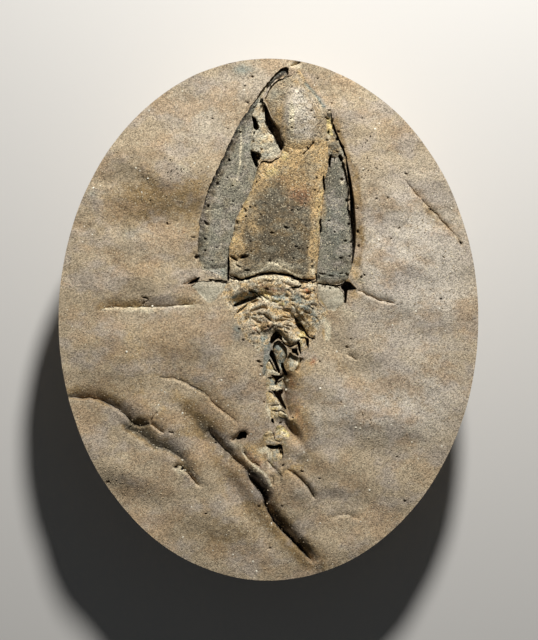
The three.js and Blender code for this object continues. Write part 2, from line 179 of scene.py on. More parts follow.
# Open gaps beside the plates, and the cracks between plates that stand open. A crack is
# a traced line and its full width in pixels. Everywhere else the plates touch.
OPEN_GAPS = [
    [(264, 102), (267, 107), (271, 117), (275, 123), (279.5, 129), (281, 136), (284, 141),
     (283.5, 146), (281.5, 151), (279.5, 148), (276.5, 141), (272, 133), (268.5, 129),
     (265, 118)],
    [(251.5, 115.5), (255.5, 117), (257.5, 122), (259.5, 127), (257, 130), (253.5, 128),
     (253, 122)],
    [(250.3, 149.5), (260, 152.5), (260, 159), (257.5, 160), (258.5, 166), (256, 167),
     (252.8, 160), (251, 155)],
    [(333.6, 123), (335.8, 130), (339.3, 138.5), (344, 149), (347.5, 160), (345.8, 158),
     (342.8, 150), (338.4, 139.5), (334.8, 131)],
    [(338.5, 154), (342, 155), (343.5, 160), (341, 161.5), (339, 158)],
    [(345.5, 156), (348.5, 168), (351, 180), (354, 200), (356, 225), (355.6, 245),
     (352.5, 266), (352.3, 245), (350.5, 215), (349.5, 190), (346.5, 168)],
    [(345, 281), (350, 282), (357, 289), (347.6, 290.2), (346.3, 303.5),
     (344.9, 303.5), (344.1, 291), (340.5, 287)],
    [(187, 284), (192, 280), (200, 276.5), (198, 281), (192, 283.5)],
    [(271, 375), (276, 375.8), (280, 375.8), (283.5, 374.3), (283.8, 376.5), (281.5, 378.5),
     (279, 379.5), (277.5, 381.5), (276.4, 386), (274.9, 385.5), (275.3, 381), (274, 378),
     (271.5, 376.2)],
    [(272.3, 390), (276, 392.5), (280, 391), (283, 389.5), (282.8, 393.5), (280.8, 395),
     (282, 399), (284, 403.5), (286.5, 408.5), (286, 410.5), (282.5, 406.5), (279.5, 402),
     (276.4, 398), (274, 394)],
    [(270.8, 349.5), (273.2, 351), (275.3, 356), (276.5, 361), (279.8, 370), (280.2, 373.6),
     (278, 373), (274, 364), (271, 358), (269.2, 355)],
    [(281.5, 362), (283.8, 364), (284.3, 368), (286.3, 371), (288, 375.7), (285, 375.7),
     (282.3, 371), (280.8, 367)],
    [(265.5, 445.6), (270, 445.3), (275, 446.3), (279.5, 444.5), (282, 446), (283, 450.5),
     (279, 448.9), (276, 449.7), (271, 449.8), (268, 448.2)],
    [(275.5, 331), (279, 332), (282, 336), (282.5, 341), (280.5, 340), (279, 338),
     (276, 339.5), (273, 343), (271, 344.5), (270, 342.5), (270.5, 338), (273, 334)],
    [(293.5, 314), (295.5, 317), (298.5, 319.5), (301, 323), (304, 327), (306, 331),
     (309.5, 337), (306.5, 335.5), (304, 331.5), (299.5, 330), (296, 325), (295, 320)],
    [(291.8, 348.8), (297, 348.6), (297.5, 352), (299, 355), (297.5, 356), (295.5, 353.5),
     (292, 352.8)],
    [(297.3, 341.5), (300, 342), (300.5, 349), (301.3, 355), (299.5, 352), (298, 347)],
    [(271.8, 418.2), (273, 418.5), (274.5, 424), (272.5, 423.5), (270.9, 421.5)],
    [(304.5, 337), (309, 339), (308.6, 348.5), (306.5, 345), (306, 341)],
    [(233, 304.8), (237, 302.5), (243, 299.5), (250, 297), (256, 295.5), (258.5, 296.5),
     (256, 298.2), (248, 301.8), (240, 305), (234, 306.8)],
    [(236, 440), (237.5, 436.5), (240.5, 432), (245, 431.5), (247, 434), (246, 439),
     (243, 438.5), (240, 440)],
]
OPEN_CRACKS = [
    ([(229, 276), (236, 277.5), (240, 279.8), (250, 277.8), (259, 274.5), (272, 273),
      (282, 274), (291, 275.8), (300, 279.8), (306, 281), (316, 279.2)], 1.7),
    ([(228.5, 256), (228.8, 268), (228.3, 281)], 1.7),
    ([(208, 278.5), (219, 280.5), (228, 282)], 0.9),
    ([(317, 283.5), (329, 285), (338, 285.5), (345, 283)], 1.1),
    ([(324, 176), (324, 190)], 1.8),
    ([(321, 219), (320.5, 233)], 1.4),
    ([(331, 154), (329.5, 160), (329, 167)], 1.8),
    ([(316, 272), (317, 283)], 1.0),
    ([(302.5, 155), (306, 151), (308, 150), (313, 142)], 0.45),
    ([(264, 315), (268, 318.5), (271.5, 321.5)], 1.3),
    ([(236.5, 313.5), (240, 309), (243, 308.5), (247, 305)], 0.6),
    ([(250, 291), (256, 293), (261, 299)], 1.1),
    ([(308, 336), (311, 338), (315, 339)], 1.1),
    ([(291, 287), (297, 288), (301, 284.5)], 1.2),
    ([(282, 342), (285.5, 345), (290, 346.5), (295, 345.5), (299, 343)], 0.8),
    ([(281.2, 449), (282.8, 453), (282.5, 459)], 0.8),
]

# Where the edge of a plate runs on into the rock with no crack. Each place is an oval: x, y,
# half width along, half width across, and turn in degrees.
MERGES = {
    "stem_root": [
        (241, 328, 40, 17, -51), (319, 331, 30, 16, 57), (226, 292, 10, 8, 0), (296, 356, 10, 5, 0),
    ],
    "middle_plate": [(317, 89, 38, 15, -56), (304, 76, 12, 10, -50)],
    "left_corner_plate": [(200, 300, 9, 4, -40), (222, 297, 6, 5, 50)],
    "right_corner_plate": [(331, 314, 8, 3, 0)],
    "left_side_plate": [(210, 277, 16, 6, -20)],
    "right_wedge_plate": [(329, 108, 5, 8, 0)],
    "left_stem_cone": [(279, 372, 5, 5, 0)],
    "right_stem_cone": [(296, 369, 8, 6, 0), (302, 358, 4, 8, 0)],
    "stem_ossicle_1": [(267, 370, 9, 5, 90)],
    "stem_ossicle_2": [(266, 385, 9, 4, 90)],
    "stem_ossicle_3": [(266, 397, 9, 4, 90)],
    "stem_ossicle_4": [(268, 407, 9, 4, 90)],
    "stem_ossicle_5": [(270, 415, 8, 4, 90), (288, 418, 6, 5, 0)],
    "stem_ossicle_6": [(284, 440, 9, 4, 0), (291, 433, 8, 4, 90), (279, 424, 9, 4, 20)],
    "stem_ossicle_7": [(260, 434, 9, 5, 80), (285, 443, 5, 5, 0), (265, 432, 9, 4, 0)],
    "stem_ossicle_8": [(277, 461, 9, 4, 0), (270, 457, 7, 3, 90)],
}

# Broad swells and hollows of the rock face: an oval and its height in millimetres.
ROCK_SWELLS = [
    (168, 168, 58, 20, -24, 0.75), (152, 222, 54, 17, 6, -0.7), (120, 165, 36, 20, 40, 0.2),
    (152, 276, 54, 17, 0, 0.42), (190, 268, 20, 14, 0, -0.3), (405, 150, 70, 40, -12, 0.2),
    (425, 225, 60, 14, 0, -0.15), (410, 258, 60, 22, 0, 0.3), (385, 292, 50, 22, 0, 0.3),
    (432, 332, 50, 14, 0, -0.25), (352, 362, 38, 13, -42, -0.4), (330, 392, 48, 16, -35, 0.5),
    (385, 420, 46, 16, 0, 0.35), (350, 428, 40, 9, 0, -0.12), (145, 335, 60, 20, 0, 0.4),
    (110, 385, 40, 12, 0, -0.35), (215, 350, 40, 20, -60, 0.35), (205, 165, 62, 13, 62, 0.3),
    (364, 215, 70, 12, -84, 0.3), (298, 486, 16, 13, -45, 0.6), (277, 400, 50, 14, 86, -1.0),
    (276, 462, 18, 11, 80, -0.45), (291, 430, 14, 4.5, -54, -1.4), (316, 425, 14, 34, 0, 0.35),
    (120, 470, 40, 16, -30, 0.45), (150, 500, 50, 16, -25, -0.35), (200, 470, 40, 12, -40, 0.4),
    (205, 520, 40, 18, -30, 0.4), (245, 505, 44, 12, -55, -0.6), (230, 486, 34, 13, -50, -0.6),
    (340, 465, 40, 14, -10, 0.35), (390, 500, 60, 30, 0, 0.3), (340, 500, 26, 9, -10, -0.3),
    (340, 545, 30, 14, 0, 0.3), (206, 434, 44, 12, -42, -0.75), (196, 455, 30, 12, -38, 0.3),
    (118, 178, 26, 14, 30, -0.35), (395, 200, 34, 14, -40, 0.25),
]

# Ledges and cracks of the rock face: the traced line, depth in millimetres, how far the
# fall reaches to the left and to the right of the line, and the depth of the thin dark
# crack along the line itself.
ROCK_LEDGES = [
    ([(68, 397), (97, 399), (105, 403), (119, 409), (127, 418), (136, 425.5), (143, 427),
      (150, 424)], 0.95, 17, 2.5, 0.35),
    ([(150, 424), (158, 429), (164, 434)], 0.4, 9, 2, 0.25),
    ([(150, 424), (153, 417), (157, 411)], 0.15, 2, 3, 0.25),
    ([(127, 427), (135, 432), (147, 438), (153, 446), (168, 449), (181, 457), (188, 465)],
     0.65, 24, 10, 0.0),
    ([(172, 467), (181, 465), (188, 473), (192, 478), (200, 488)], 0.45, 8, 2.5, 0.4),
    ([(160, 377), (180, 379.5), (191, 386), (205, 394), (220, 409), (232, 418), (239, 426)],
     0.34, 16, 2.5, 0.12),
    ([(232, 442), (237, 436), (243, 432), (248, 436)], 0.5, 4, 3, 0.3),
    ([(249, 475), (256, 486), (263, 497), (267, 510), (275, 524), (287, 536), (298, 547),
      (306, 556), (313, 564)], 2.3, 15, 2.5, 0.3),
    ([(103, 309), (118, 306.5), (142, 307), (160, 307), (183, 305.5), (192, 305)],
     0.45, 14, 2.5, 0.22),
    ([(142, 306), (146, 302), (150, 300), (145, 298)], 0.12, 3, 3, 0.2),
    ([(243, 452), (250, 461), (257, 465), (261, 467)], 0.3, 5, 2, 0.3),
    ([(330, 517), (346, 514.5), (360, 520)], 0.3, 14, 3, 0.0),
    ([(357, 289), (368, 296), (380, 300.5), (395, 304)], 0.35, 10, 2.5, 0.25),
    ([(463, 247), (455, 234), (435, 213), (415, 192), (404, 178)], 0.26, 3, 9, 0.16),
    ([(288, 469), (298, 477), (306, 484), (312, 494), (316, 499)], 0.45, 6, 3, 0.45),
    ([(182, 285), (190, 281.5), (198, 278)], 0.35, 6, 2, 0.3),
    ([(284, 372), (285, 390), (287, 408), (291, 420)], 0.95, 15, 3, 0.1),
    ([(290, 66), (300, 62)], 0.3, 3, 3, 0.3),
    ([(168, 432), (174, 432.5)], 0.1, 3, 2, 0.3),
    ([(268, 460), (272, 466), (279, 474), (281, 478)], 0.25, 4, 3, 0.25),
    ([(270, 475), (273, 480), (274, 486)], 0.2, 4, 3, 0.2),
    ([(266, 371), (263, 377)], 0.15, 2, 2, 0.25),
    ([(309, 336), (315, 338.5)], 0.2, 3, 2, 0.35),
    ([(345, 355), (352, 356), (357, 361)], 0.2, 5, 2, 0.2),
    ([(301, 357), (300, 364), (296, 371)], 0.5, 9, 1.5, 0.2),
    ([(206, 428), (214, 438), (224, 449), (234, 459), (245, 469), (254, 483), (262, 497)],
     0.75, 8, 13, 0.0),
]

# Pits: an oval and its depth in millimetres.
PITS = [
    (229, 160, 2, 1.5, 60, 0.35), (217, 184, 2.4, 1.7, 60, 0.4), (208, 206, 2.0, 1.3, 60, 0.35),
    (206.5, 223.5, 3.6, 1.3, -45, 0.4), (205, 239, 1.4, 1.2, 0, 0.35), (205, 250.5, 1.5, 1.0, 0, 0.3),
    (196.5, 257, 2.6, 1.8, 20, 0.5), (233, 201.3, 1.2, 0.9, 0, 0.25), (212, 260.5, 1.2, 0.8, 0, 0.2),
    (204.5, 268, 1.2, 0.8, 0, 0.2), (212, 273, 1.6, 0.9, 0, 0.25), (216.5, 247.5, 1.2, 0.8, 0, 0.2),
    (227.5, 177.5, 1.2, 0.8, 0, 0.2), (232.5, 185.5, 1.1, 0.9, 0, 0.2), (240, 132, 1.6, 1.2, 60, 0.3),
    (242, 207, 1.2, 0.8, 0, 0.15), (272, 233, 2.4, 1.1, 0, 0.4), (286, 227.5, 2.4, 1.2, -25, 0.45),
    (298, 210, 1.5, 0.8, 0, 0.25), (292, 210.5, 1.1, 0.8, 0, 0.2), (246, 216.5, 1.3, 1.3, 0, 0.35),
    (237, 223, 1.3, 2.2, 0, 0.3), (250, 207, 1.0, 1.6, 0, 0.25), (256.5, 182, 1.1, 1.0, 0, 0.2),
    (296, 246.5, 1.6, 0.8, -20, 0.3), (298.5, 249, 1.5, 0.7, 0, 0.25), (303, 249.2, 1.1, 0.6, 0, 0.2),
    (307.5, 248, 1.3, 0.8, 0, 0.2), (293.5, 258.5, 1.2, 0.8, 0, 0.2), (312, 262, 0.9, 3.0, 0, 0.25),
    (312, 267, 1.0, 2.0, 0, 0.25), (234, 258.5, 4.5, 1.6, -32, 0.6), (244, 256.8, 5.0, 1.9, 12, 0.6),
    (238.5, 266, 3.0, 1.2, -30, 0.4), (247.5, 270.5, 3.2, 0.9, 0, 0.4), (270, 261, 1.6, 1.0, -30, 0.25),
    (250.5, 241.5, 1.2, 0.8, 0, 0.2), (251, 251.5, 1.3, 0.9, 0, 0.25), (261, 215, 1.0, 0.8, 0, 0.2),
    (268, 245, 1.0, 0.8, 0, 0.2), (255, 206, 0.9, 1.4, 0, 0.2), (245, 210, 1.0, 2.4, 20, 0.3),
    (317, 178, 1.2, 1.0, 0, 0.25), (315, 190, 1.6, 0.9, 0, 0.25), (318, 192, 1.0, 1.0, 0, 0.2),
    (319, 207, 1.2, 0.8, 0, 0.2), (305, 203.5, 1.2, 0.6, -30, 0.15), (306, 226, 1.2, 0.6, 0, 0.15),
    (342, 179, 1.9, 1.8, 0, 0.45), (347.5, 200.5, 2.0, 1.8, 0, 0.45), (348.8, 224, 1.5, 1.7, 0, 0.4),
    (345.5, 241, 2.0, 1.0, 0, 0.4), (351, 242, 1.0, 1.2, 0, 0.3), (341, 258, 1.9, 1.1, 0, 0.35),
    (349.5, 256, 1.0, 1.0, 0, 0.3), (335, 232, 1.1, 0.9, 0, 0.3), (329, 220.5, 1.1, 1.0, 0, 0.3),
    (341.5, 158.5, 1.6, 2.4, 0, 0.45), (323, 274, 3.6, 0.9, -8, 0.35), (331.5, 276, 3.0, 0.9, -5, 0.35),
    (341, 273.4, 2.2, 0.8, 0, 0.3), (347, 274.5, 2.2, 1.1, -40, 0.4), (319, 277, 1.0, 2.4, 0, 0.25),
    (330, 288.3, 1.2, 0.8, 0, 0.25), (357.8, 231.5, 1.3, 1.9, 0, 0.4), (356.8, 208.5, 1.8, 0.7, 0, 0.25),
    (358.7, 246, 1.4, 1.9, 0, 0.35), (255.3, 122.5, 1.9, 6.0, 18, 0.8), (256, 154.5, 4.4, 3.0, -20, 1.0),
    (257, 164, 1.5, 2.2, 20, 0.7), (254, 107, 1.3, 1.0, 0, 0.3), (261, 106.5, 1.0, 1.2, 0, 0.3),
    (263, 111, 1.0, 1.0, 0, 0.25), (254, 133, 1.0, 1.6, 0, 0.3), (271, 142, 1.0, 1.2, 0, 0.25),
    (261.5, 149, 1.4, 0.9, 0, 0.3), (253, 141, 1.0, 1.2, 0, 0.25), (328.4, 132, 1.1, 2.0, 0, 0.35),
    (327, 118.5, 2.2, 0.9, -30, 0.3), (327, 140, 1.8, 1.0, 0, 0.3), (332.5, 121, 1.1, 2.6, -10, 0.4),
    (337, 139, 1.3, 2.2, -30, 0.4), (338.5, 132, 1.6, 1.4, 0, 0.3), (337.5, 151.5, 1.2, 1.0, 0, 0.3),
    (343, 147, 1.2, 2.4, 30, 0.4), (329.5, 110.5, 1.8, 0.9, 0, 0.3), (331.8, 103.5, 0.9, 1.3, 0, 0.25),
    (291.5, 128.5, 1.2, 1.0, 0, 0.18), (290.5, 119.5, 0.8, 0.9, 0, 0.15),
    (291.5, 106, 1.2, 0.8, -20, 0.18), (311.5, 111.5, 1.4, 0.9, -20, 0.2),
    (314.5, 118, 0.8, 1.0, 0, 0.18), (304.5, 130.5, 0.9, 0.7, 0, 0.15), (298.5, 93.7, 1.2, 0.8, 0, 0.18),
    (308, 148.5, 1.4, 1.8, 30, 0.3), (313, 142.8, 1.2, 1.4, 0, 0.3), (280.5, 135, 0.9, 1.6, 0, 0.3),
    (308.5, 293, 2.6, 1.4, 25, 0.6), (314, 290.8, 1.2, 0.9, -30, 0.3), (315.3, 294, 1.0, 1.0, 0, 0.25),
    (297, 287, 3.0, 1.2, -15, 0.5), (292.5, 280.5, 1.2, 0.8, 0, 0.25), (301.5, 283.4, 1.4, 0.8, 0, 0.25),
    (267, 288.8, 2.0, 1.0, -15, 0.35), (285.5, 332, 2.1, 0.9, -20, 0.35),
    (268, 326.5, 1.6, 1.0, -60, 0.25), (258, 333, 2.0, 0.8, -45, 0.25), (243, 340, 1.6, 1.0, -30, 0.2),
    (253.5, 343.3, 1.2, 0.7, 0, 0.2), (239, 329, 1.8, 1.0, 0, 0.2), (303, 338, 3.4, 1.0, 0, 0.5),
    (258.7, 361.5, 2.1, 1.5, -10, 0.45), (261.3, 366.2, 1.7, 0.8, -35, 0.3),
    (320, 361.3, 1.2, 0.8, 0, 0.3), (351, 339, 1.2, 0.9, 0, 0.3), (347, 347.5, 1.9, 0.8, -15, 0.3),
    (280.3, 423.5, 1.9, 1.4, 40, 0.5), (293, 418, 1.0, 1.0, 0, 0.3), (264, 402.5, 1.2, 0.8, 0, 0.2),
    (283, 465.5, 1.2, 1.5, 0, 0.4), (302, 471.3, 2.1, 0.9, -8, 0.4), (319.5, 478.4, 1.3, 1.0, 0, 0.35),
    (282, 506, 1.2, 0.9, 0, 0.3), (270, 548, 1.3, 0.9, 0, 0.3), (259, 507, 1.2, 0.9, 0, 0.3),
    (405, 501, 1.5, 1.2, 0, 0.4), (376.5, 198.5, 1.2, 0.8, 0, 0.25), (387.5, 198, 0.9, 1.8, 25, 0.2),
    (362, 118.5, 1.0, 0.9, 0, 0.25), (430, 209.3, 1.7, 1.0, -20, 0.3), (461, 243, 1.2, 1.8, 20, 0.35),
    (406, 174, 2.0, 0.9, -20, 0.2), (391, 238.5, 1.2, 0.8, 0, 0.25), (399, 228, 1.6, 0.7, 30, 0.2),
    (443.5, 257, 1.5, 0.8, -35, 0.3), (361, 277, 1.2, 1.2, 0, 0.35), (364.5, 275, 1.0, 1.5, 30, 0.35),
    (252.5, 76.6, 1.3, 1.1, 0, 0.3), (245, 86, 1.2, 0.8, 0, 0.2), (247.5, 102.5, 1.6, 0.8, -30, 0.25),
    (212.5, 118.5, 1.0, 0.8, 0, 0.2), (228, 129, 1.1, 0.7, 0, 0.2), (167, 223.5, 1.2, 1.7, 20, 0.35),
    (193, 237.2, 2.4, 0.8, -8, 0.3), (150.5, 201, 1.2, 0.7, 0, 0.2), (144, 297.6, 2.6, 0.8, 0, 0.3),
    (317.5, 78.5, 0.9, 0.8, 0, 0.2), (108, 482, 2.6, 0.9, 15, 0.4), (215.5, 443.5, 1.3, 1.0, 0, 0.35),
    (176, 467.5, 2.0, 1.2, 0, 0.4), (182, 469, 1.6, 1.6, 0, 0.35), (206, 513.5, 1.6, 0.9, 0, 0.25),
    (341, 402, 1.0, 0.8, 0, 0.2), (441, 299, 1.2, 0.7, 0, 0.2), (397, 457, 1.2, 0.8, 0, 0.2),
]

# Lumps and hollows of single plates, written like the rock's swells.
MIDDLE_PLATE_SWELLS = [
    (300, 113, 23, 37, 0, 1.15), (291, 118, 6, 22, 0, 0.3), (277, 122, 4, 26, -12, -0.3),
    (318, 96, 10, 12, -45, 0.2), (281, 230, 30, 36, 0, 0.2), (272, 264, 16, 4, 0, 0.1),
    (240, 260, 8, 5, 0, -0.35), (235, 266, 6, 8, 0, 0.12),
]
LEFT_SIDE_PLATE_SWELLS = [
    (274, 78, 24, 12, 48, 0.3), (238, 172, 42, 8, 68, 0.25), (214, 273, 12, 3, 0, -0.2),
]
STEM_ROOT_SWELLS = [
    (243, 300.5, 15, 5.5, 20, -1.1), (299.5, 323, 10, 4.5, -58, -0.9), (268, 336, 9, 7, 30, -0.8),
    (266, 350, 4, 14, 0, -0.5), (272, 283, 34, 7, -4, 0.2), (240, 289, 12, 5, -10, 0.12),
    (262, 318, 14, 8, 30, 0.25), (285, 327, 12, 6, 10, 0.3), (288, 338, 9, 6, -20, 0.55),
    (310, 302, 9, 12, 0, 0.3), (301, 342, 4, 6, 0, 0.35),
]

# Folds and cracks of the stem root, written like the rock's ledges.
STEM_ROOT_FOLDS = [
    ([(237, 313), (243, 308), (251, 302.5), (258, 299)], 0.4, 2.5, 5, 0.3),
    ([(249, 290), (254, 292), (257, 297), (262, 300)], 0.35, 3, 4, 0.3),
    ([(260, 294), (264, 298), (269, 300)], 0.3, 3, 3, 0.3),
    ([(251, 310), (257, 308.5), (264, 307), (268, 310)], 0.25, 4, 3, 0.12),
    ([(250, 315.5), (254, 316), (261, 315)], 0.2, 4, 3, 0.12),
    ([(264, 314), (268, 318), (272, 321)], 0.35, 4, 3, 0.35),
    ([(280, 320), (287, 320), (292, 322), (296, 324)], 0.3, 5, 3, 0.3),
    ([(284, 313), (290, 317), (296, 320)], 0.2, 3, 3, 0.12),
    ([(280, 308), (288, 311), (294, 316)], 0.2, 3, 3, 0.0),
    ([(292, 303), (296, 309), (297, 315)], 0.3, 3, 3, 0.15),
    ([(300, 330), (303, 335), (308, 337.5)], 0.35, 4, 2.5, 0.35),
    ([(240, 324), (248, 320), (258, 320)], 0.18, 4, 3, 0.0),
    ([(243, 332), (247, 327), (258, 325)], 0.2, 4, 3, 0.1),
    ([(270, 304), (277, 303), (284, 306)], 0.2, 4, 3, 0.0),
    ([(272, 296), (280, 297), (288, 294)], 0.2, 4, 3, 0.0),
    ([(232, 288), (240, 286), (250, 288)], 0.15, 5, 4, 0.0),
    ([(281, 281), (287, 285), (292, 287)], 0.22, 4, 3, 0.1),
    ([(300, 296), (305, 300), (310, 300)], 0.22, 4, 3, 0.15),
    ([(277, 330), (283, 335), (287, 341)], 0.3, 4, 4, 0.0),
    ([(257, 324), (262, 330), (264, 338)], 0.2, 4, 4, 0.0),
    ([(246, 297), (252, 295), (257, 296)], 0.2, 3, 3, 0.0),
    ([(252, 303), (255, 301.5), (258, 300)], 0.3, 2, 3, 0.3),
    ([(250, 311.5), (257, 309.5), (263, 307.5), (268, 309)], 0.3, 3, 3, 0.3),
    ([(282, 342), (285, 345.5), (290, 346.5), (296, 344), (300, 340)], 0.3, 2.5, 2.5, 0.3),
    ([(283, 336), (286, 340), (290, 344)], 0.25, 3, 3, 0.1),
    ([(286, 311), (290, 314), (294, 318)], 0.3, 2, 3, 0.3),
    ([(283, 316), (288, 318), (294, 321)], 0.3, 2, 3, 0.3),
    ([(271, 300), (276, 302), (281, 300)], 0.3, 3, 3, 0.2),
    ([(264, 293), (269, 296), (273, 294)], 0.3, 3, 3, 0.2),
    ([(248, 327), (245, 331), (242, 337)], 0.25, 3, 3, 0.1),
    ([(251, 318), (256, 322), (262, 324)], 0.25, 3, 3, 0.1),
    ([(256, 313), (261, 315), (266, 314)], 0.25, 3, 3, 0.1),
    ([(231, 322), (237, 325), (241, 322)], 0.3, 4, 3, 0.0),
    ([(302, 308), (306, 314), (309, 320)], 0.25, 4, 4, 0.0),
    ([(326, 318), (324, 326), (325, 334)], 0.25, 3, 4, 0.0),
]

# The small random folds of the stem root: the middle of their arcs, and how many.
ROOT_ARC_CENTRE = (278, 340)
ROOT_WRINKLES = 46

# Folds and cracks of single plates.
LEFT_SIDE_PLATE_FOLDS = [
    ([(258, 95), (250, 107), (240, 122), (231, 139), (223, 157), (215, 174), (207, 190),
      (202.5, 206), (199, 222), (197, 244)], -0.7, 10, 10, 0.0),
    ([(205, 210), (212, 209.5), (217, 208.5), (224, 207)], 0.12, 4, 2.5, 0.2),
    ([(209, 269), (218, 268), (227, 267)], 0.28, 5, 4, 0.0),
]
MIDDLE_PLATE_FOLDS = [
    ([(250, 274), (262, 268.5), (272, 261), (283, 267), (299, 276)], 0.12, 5, 2, 0.0),
    ([(290, 89), (298, 90), (304, 95)], 0.08, 3, 2, 0.1),
    ([(284, 150), (287, 153), (289, 153.5)], 0.1, 2, 2, 0.2),
    ([(303, 155), (306, 150), (314, 143), (318, 138)], 0.12, 3, 3, 0.15),
    ([(281, 80), (283, 77), (287, 74)], 0.1, 2, 2, 0.3),
    ([(322, 120), (319, 134), (312, 144), (303, 149), (294, 149), (286, 146)], 0.16, 3, 7, 0.0),
]

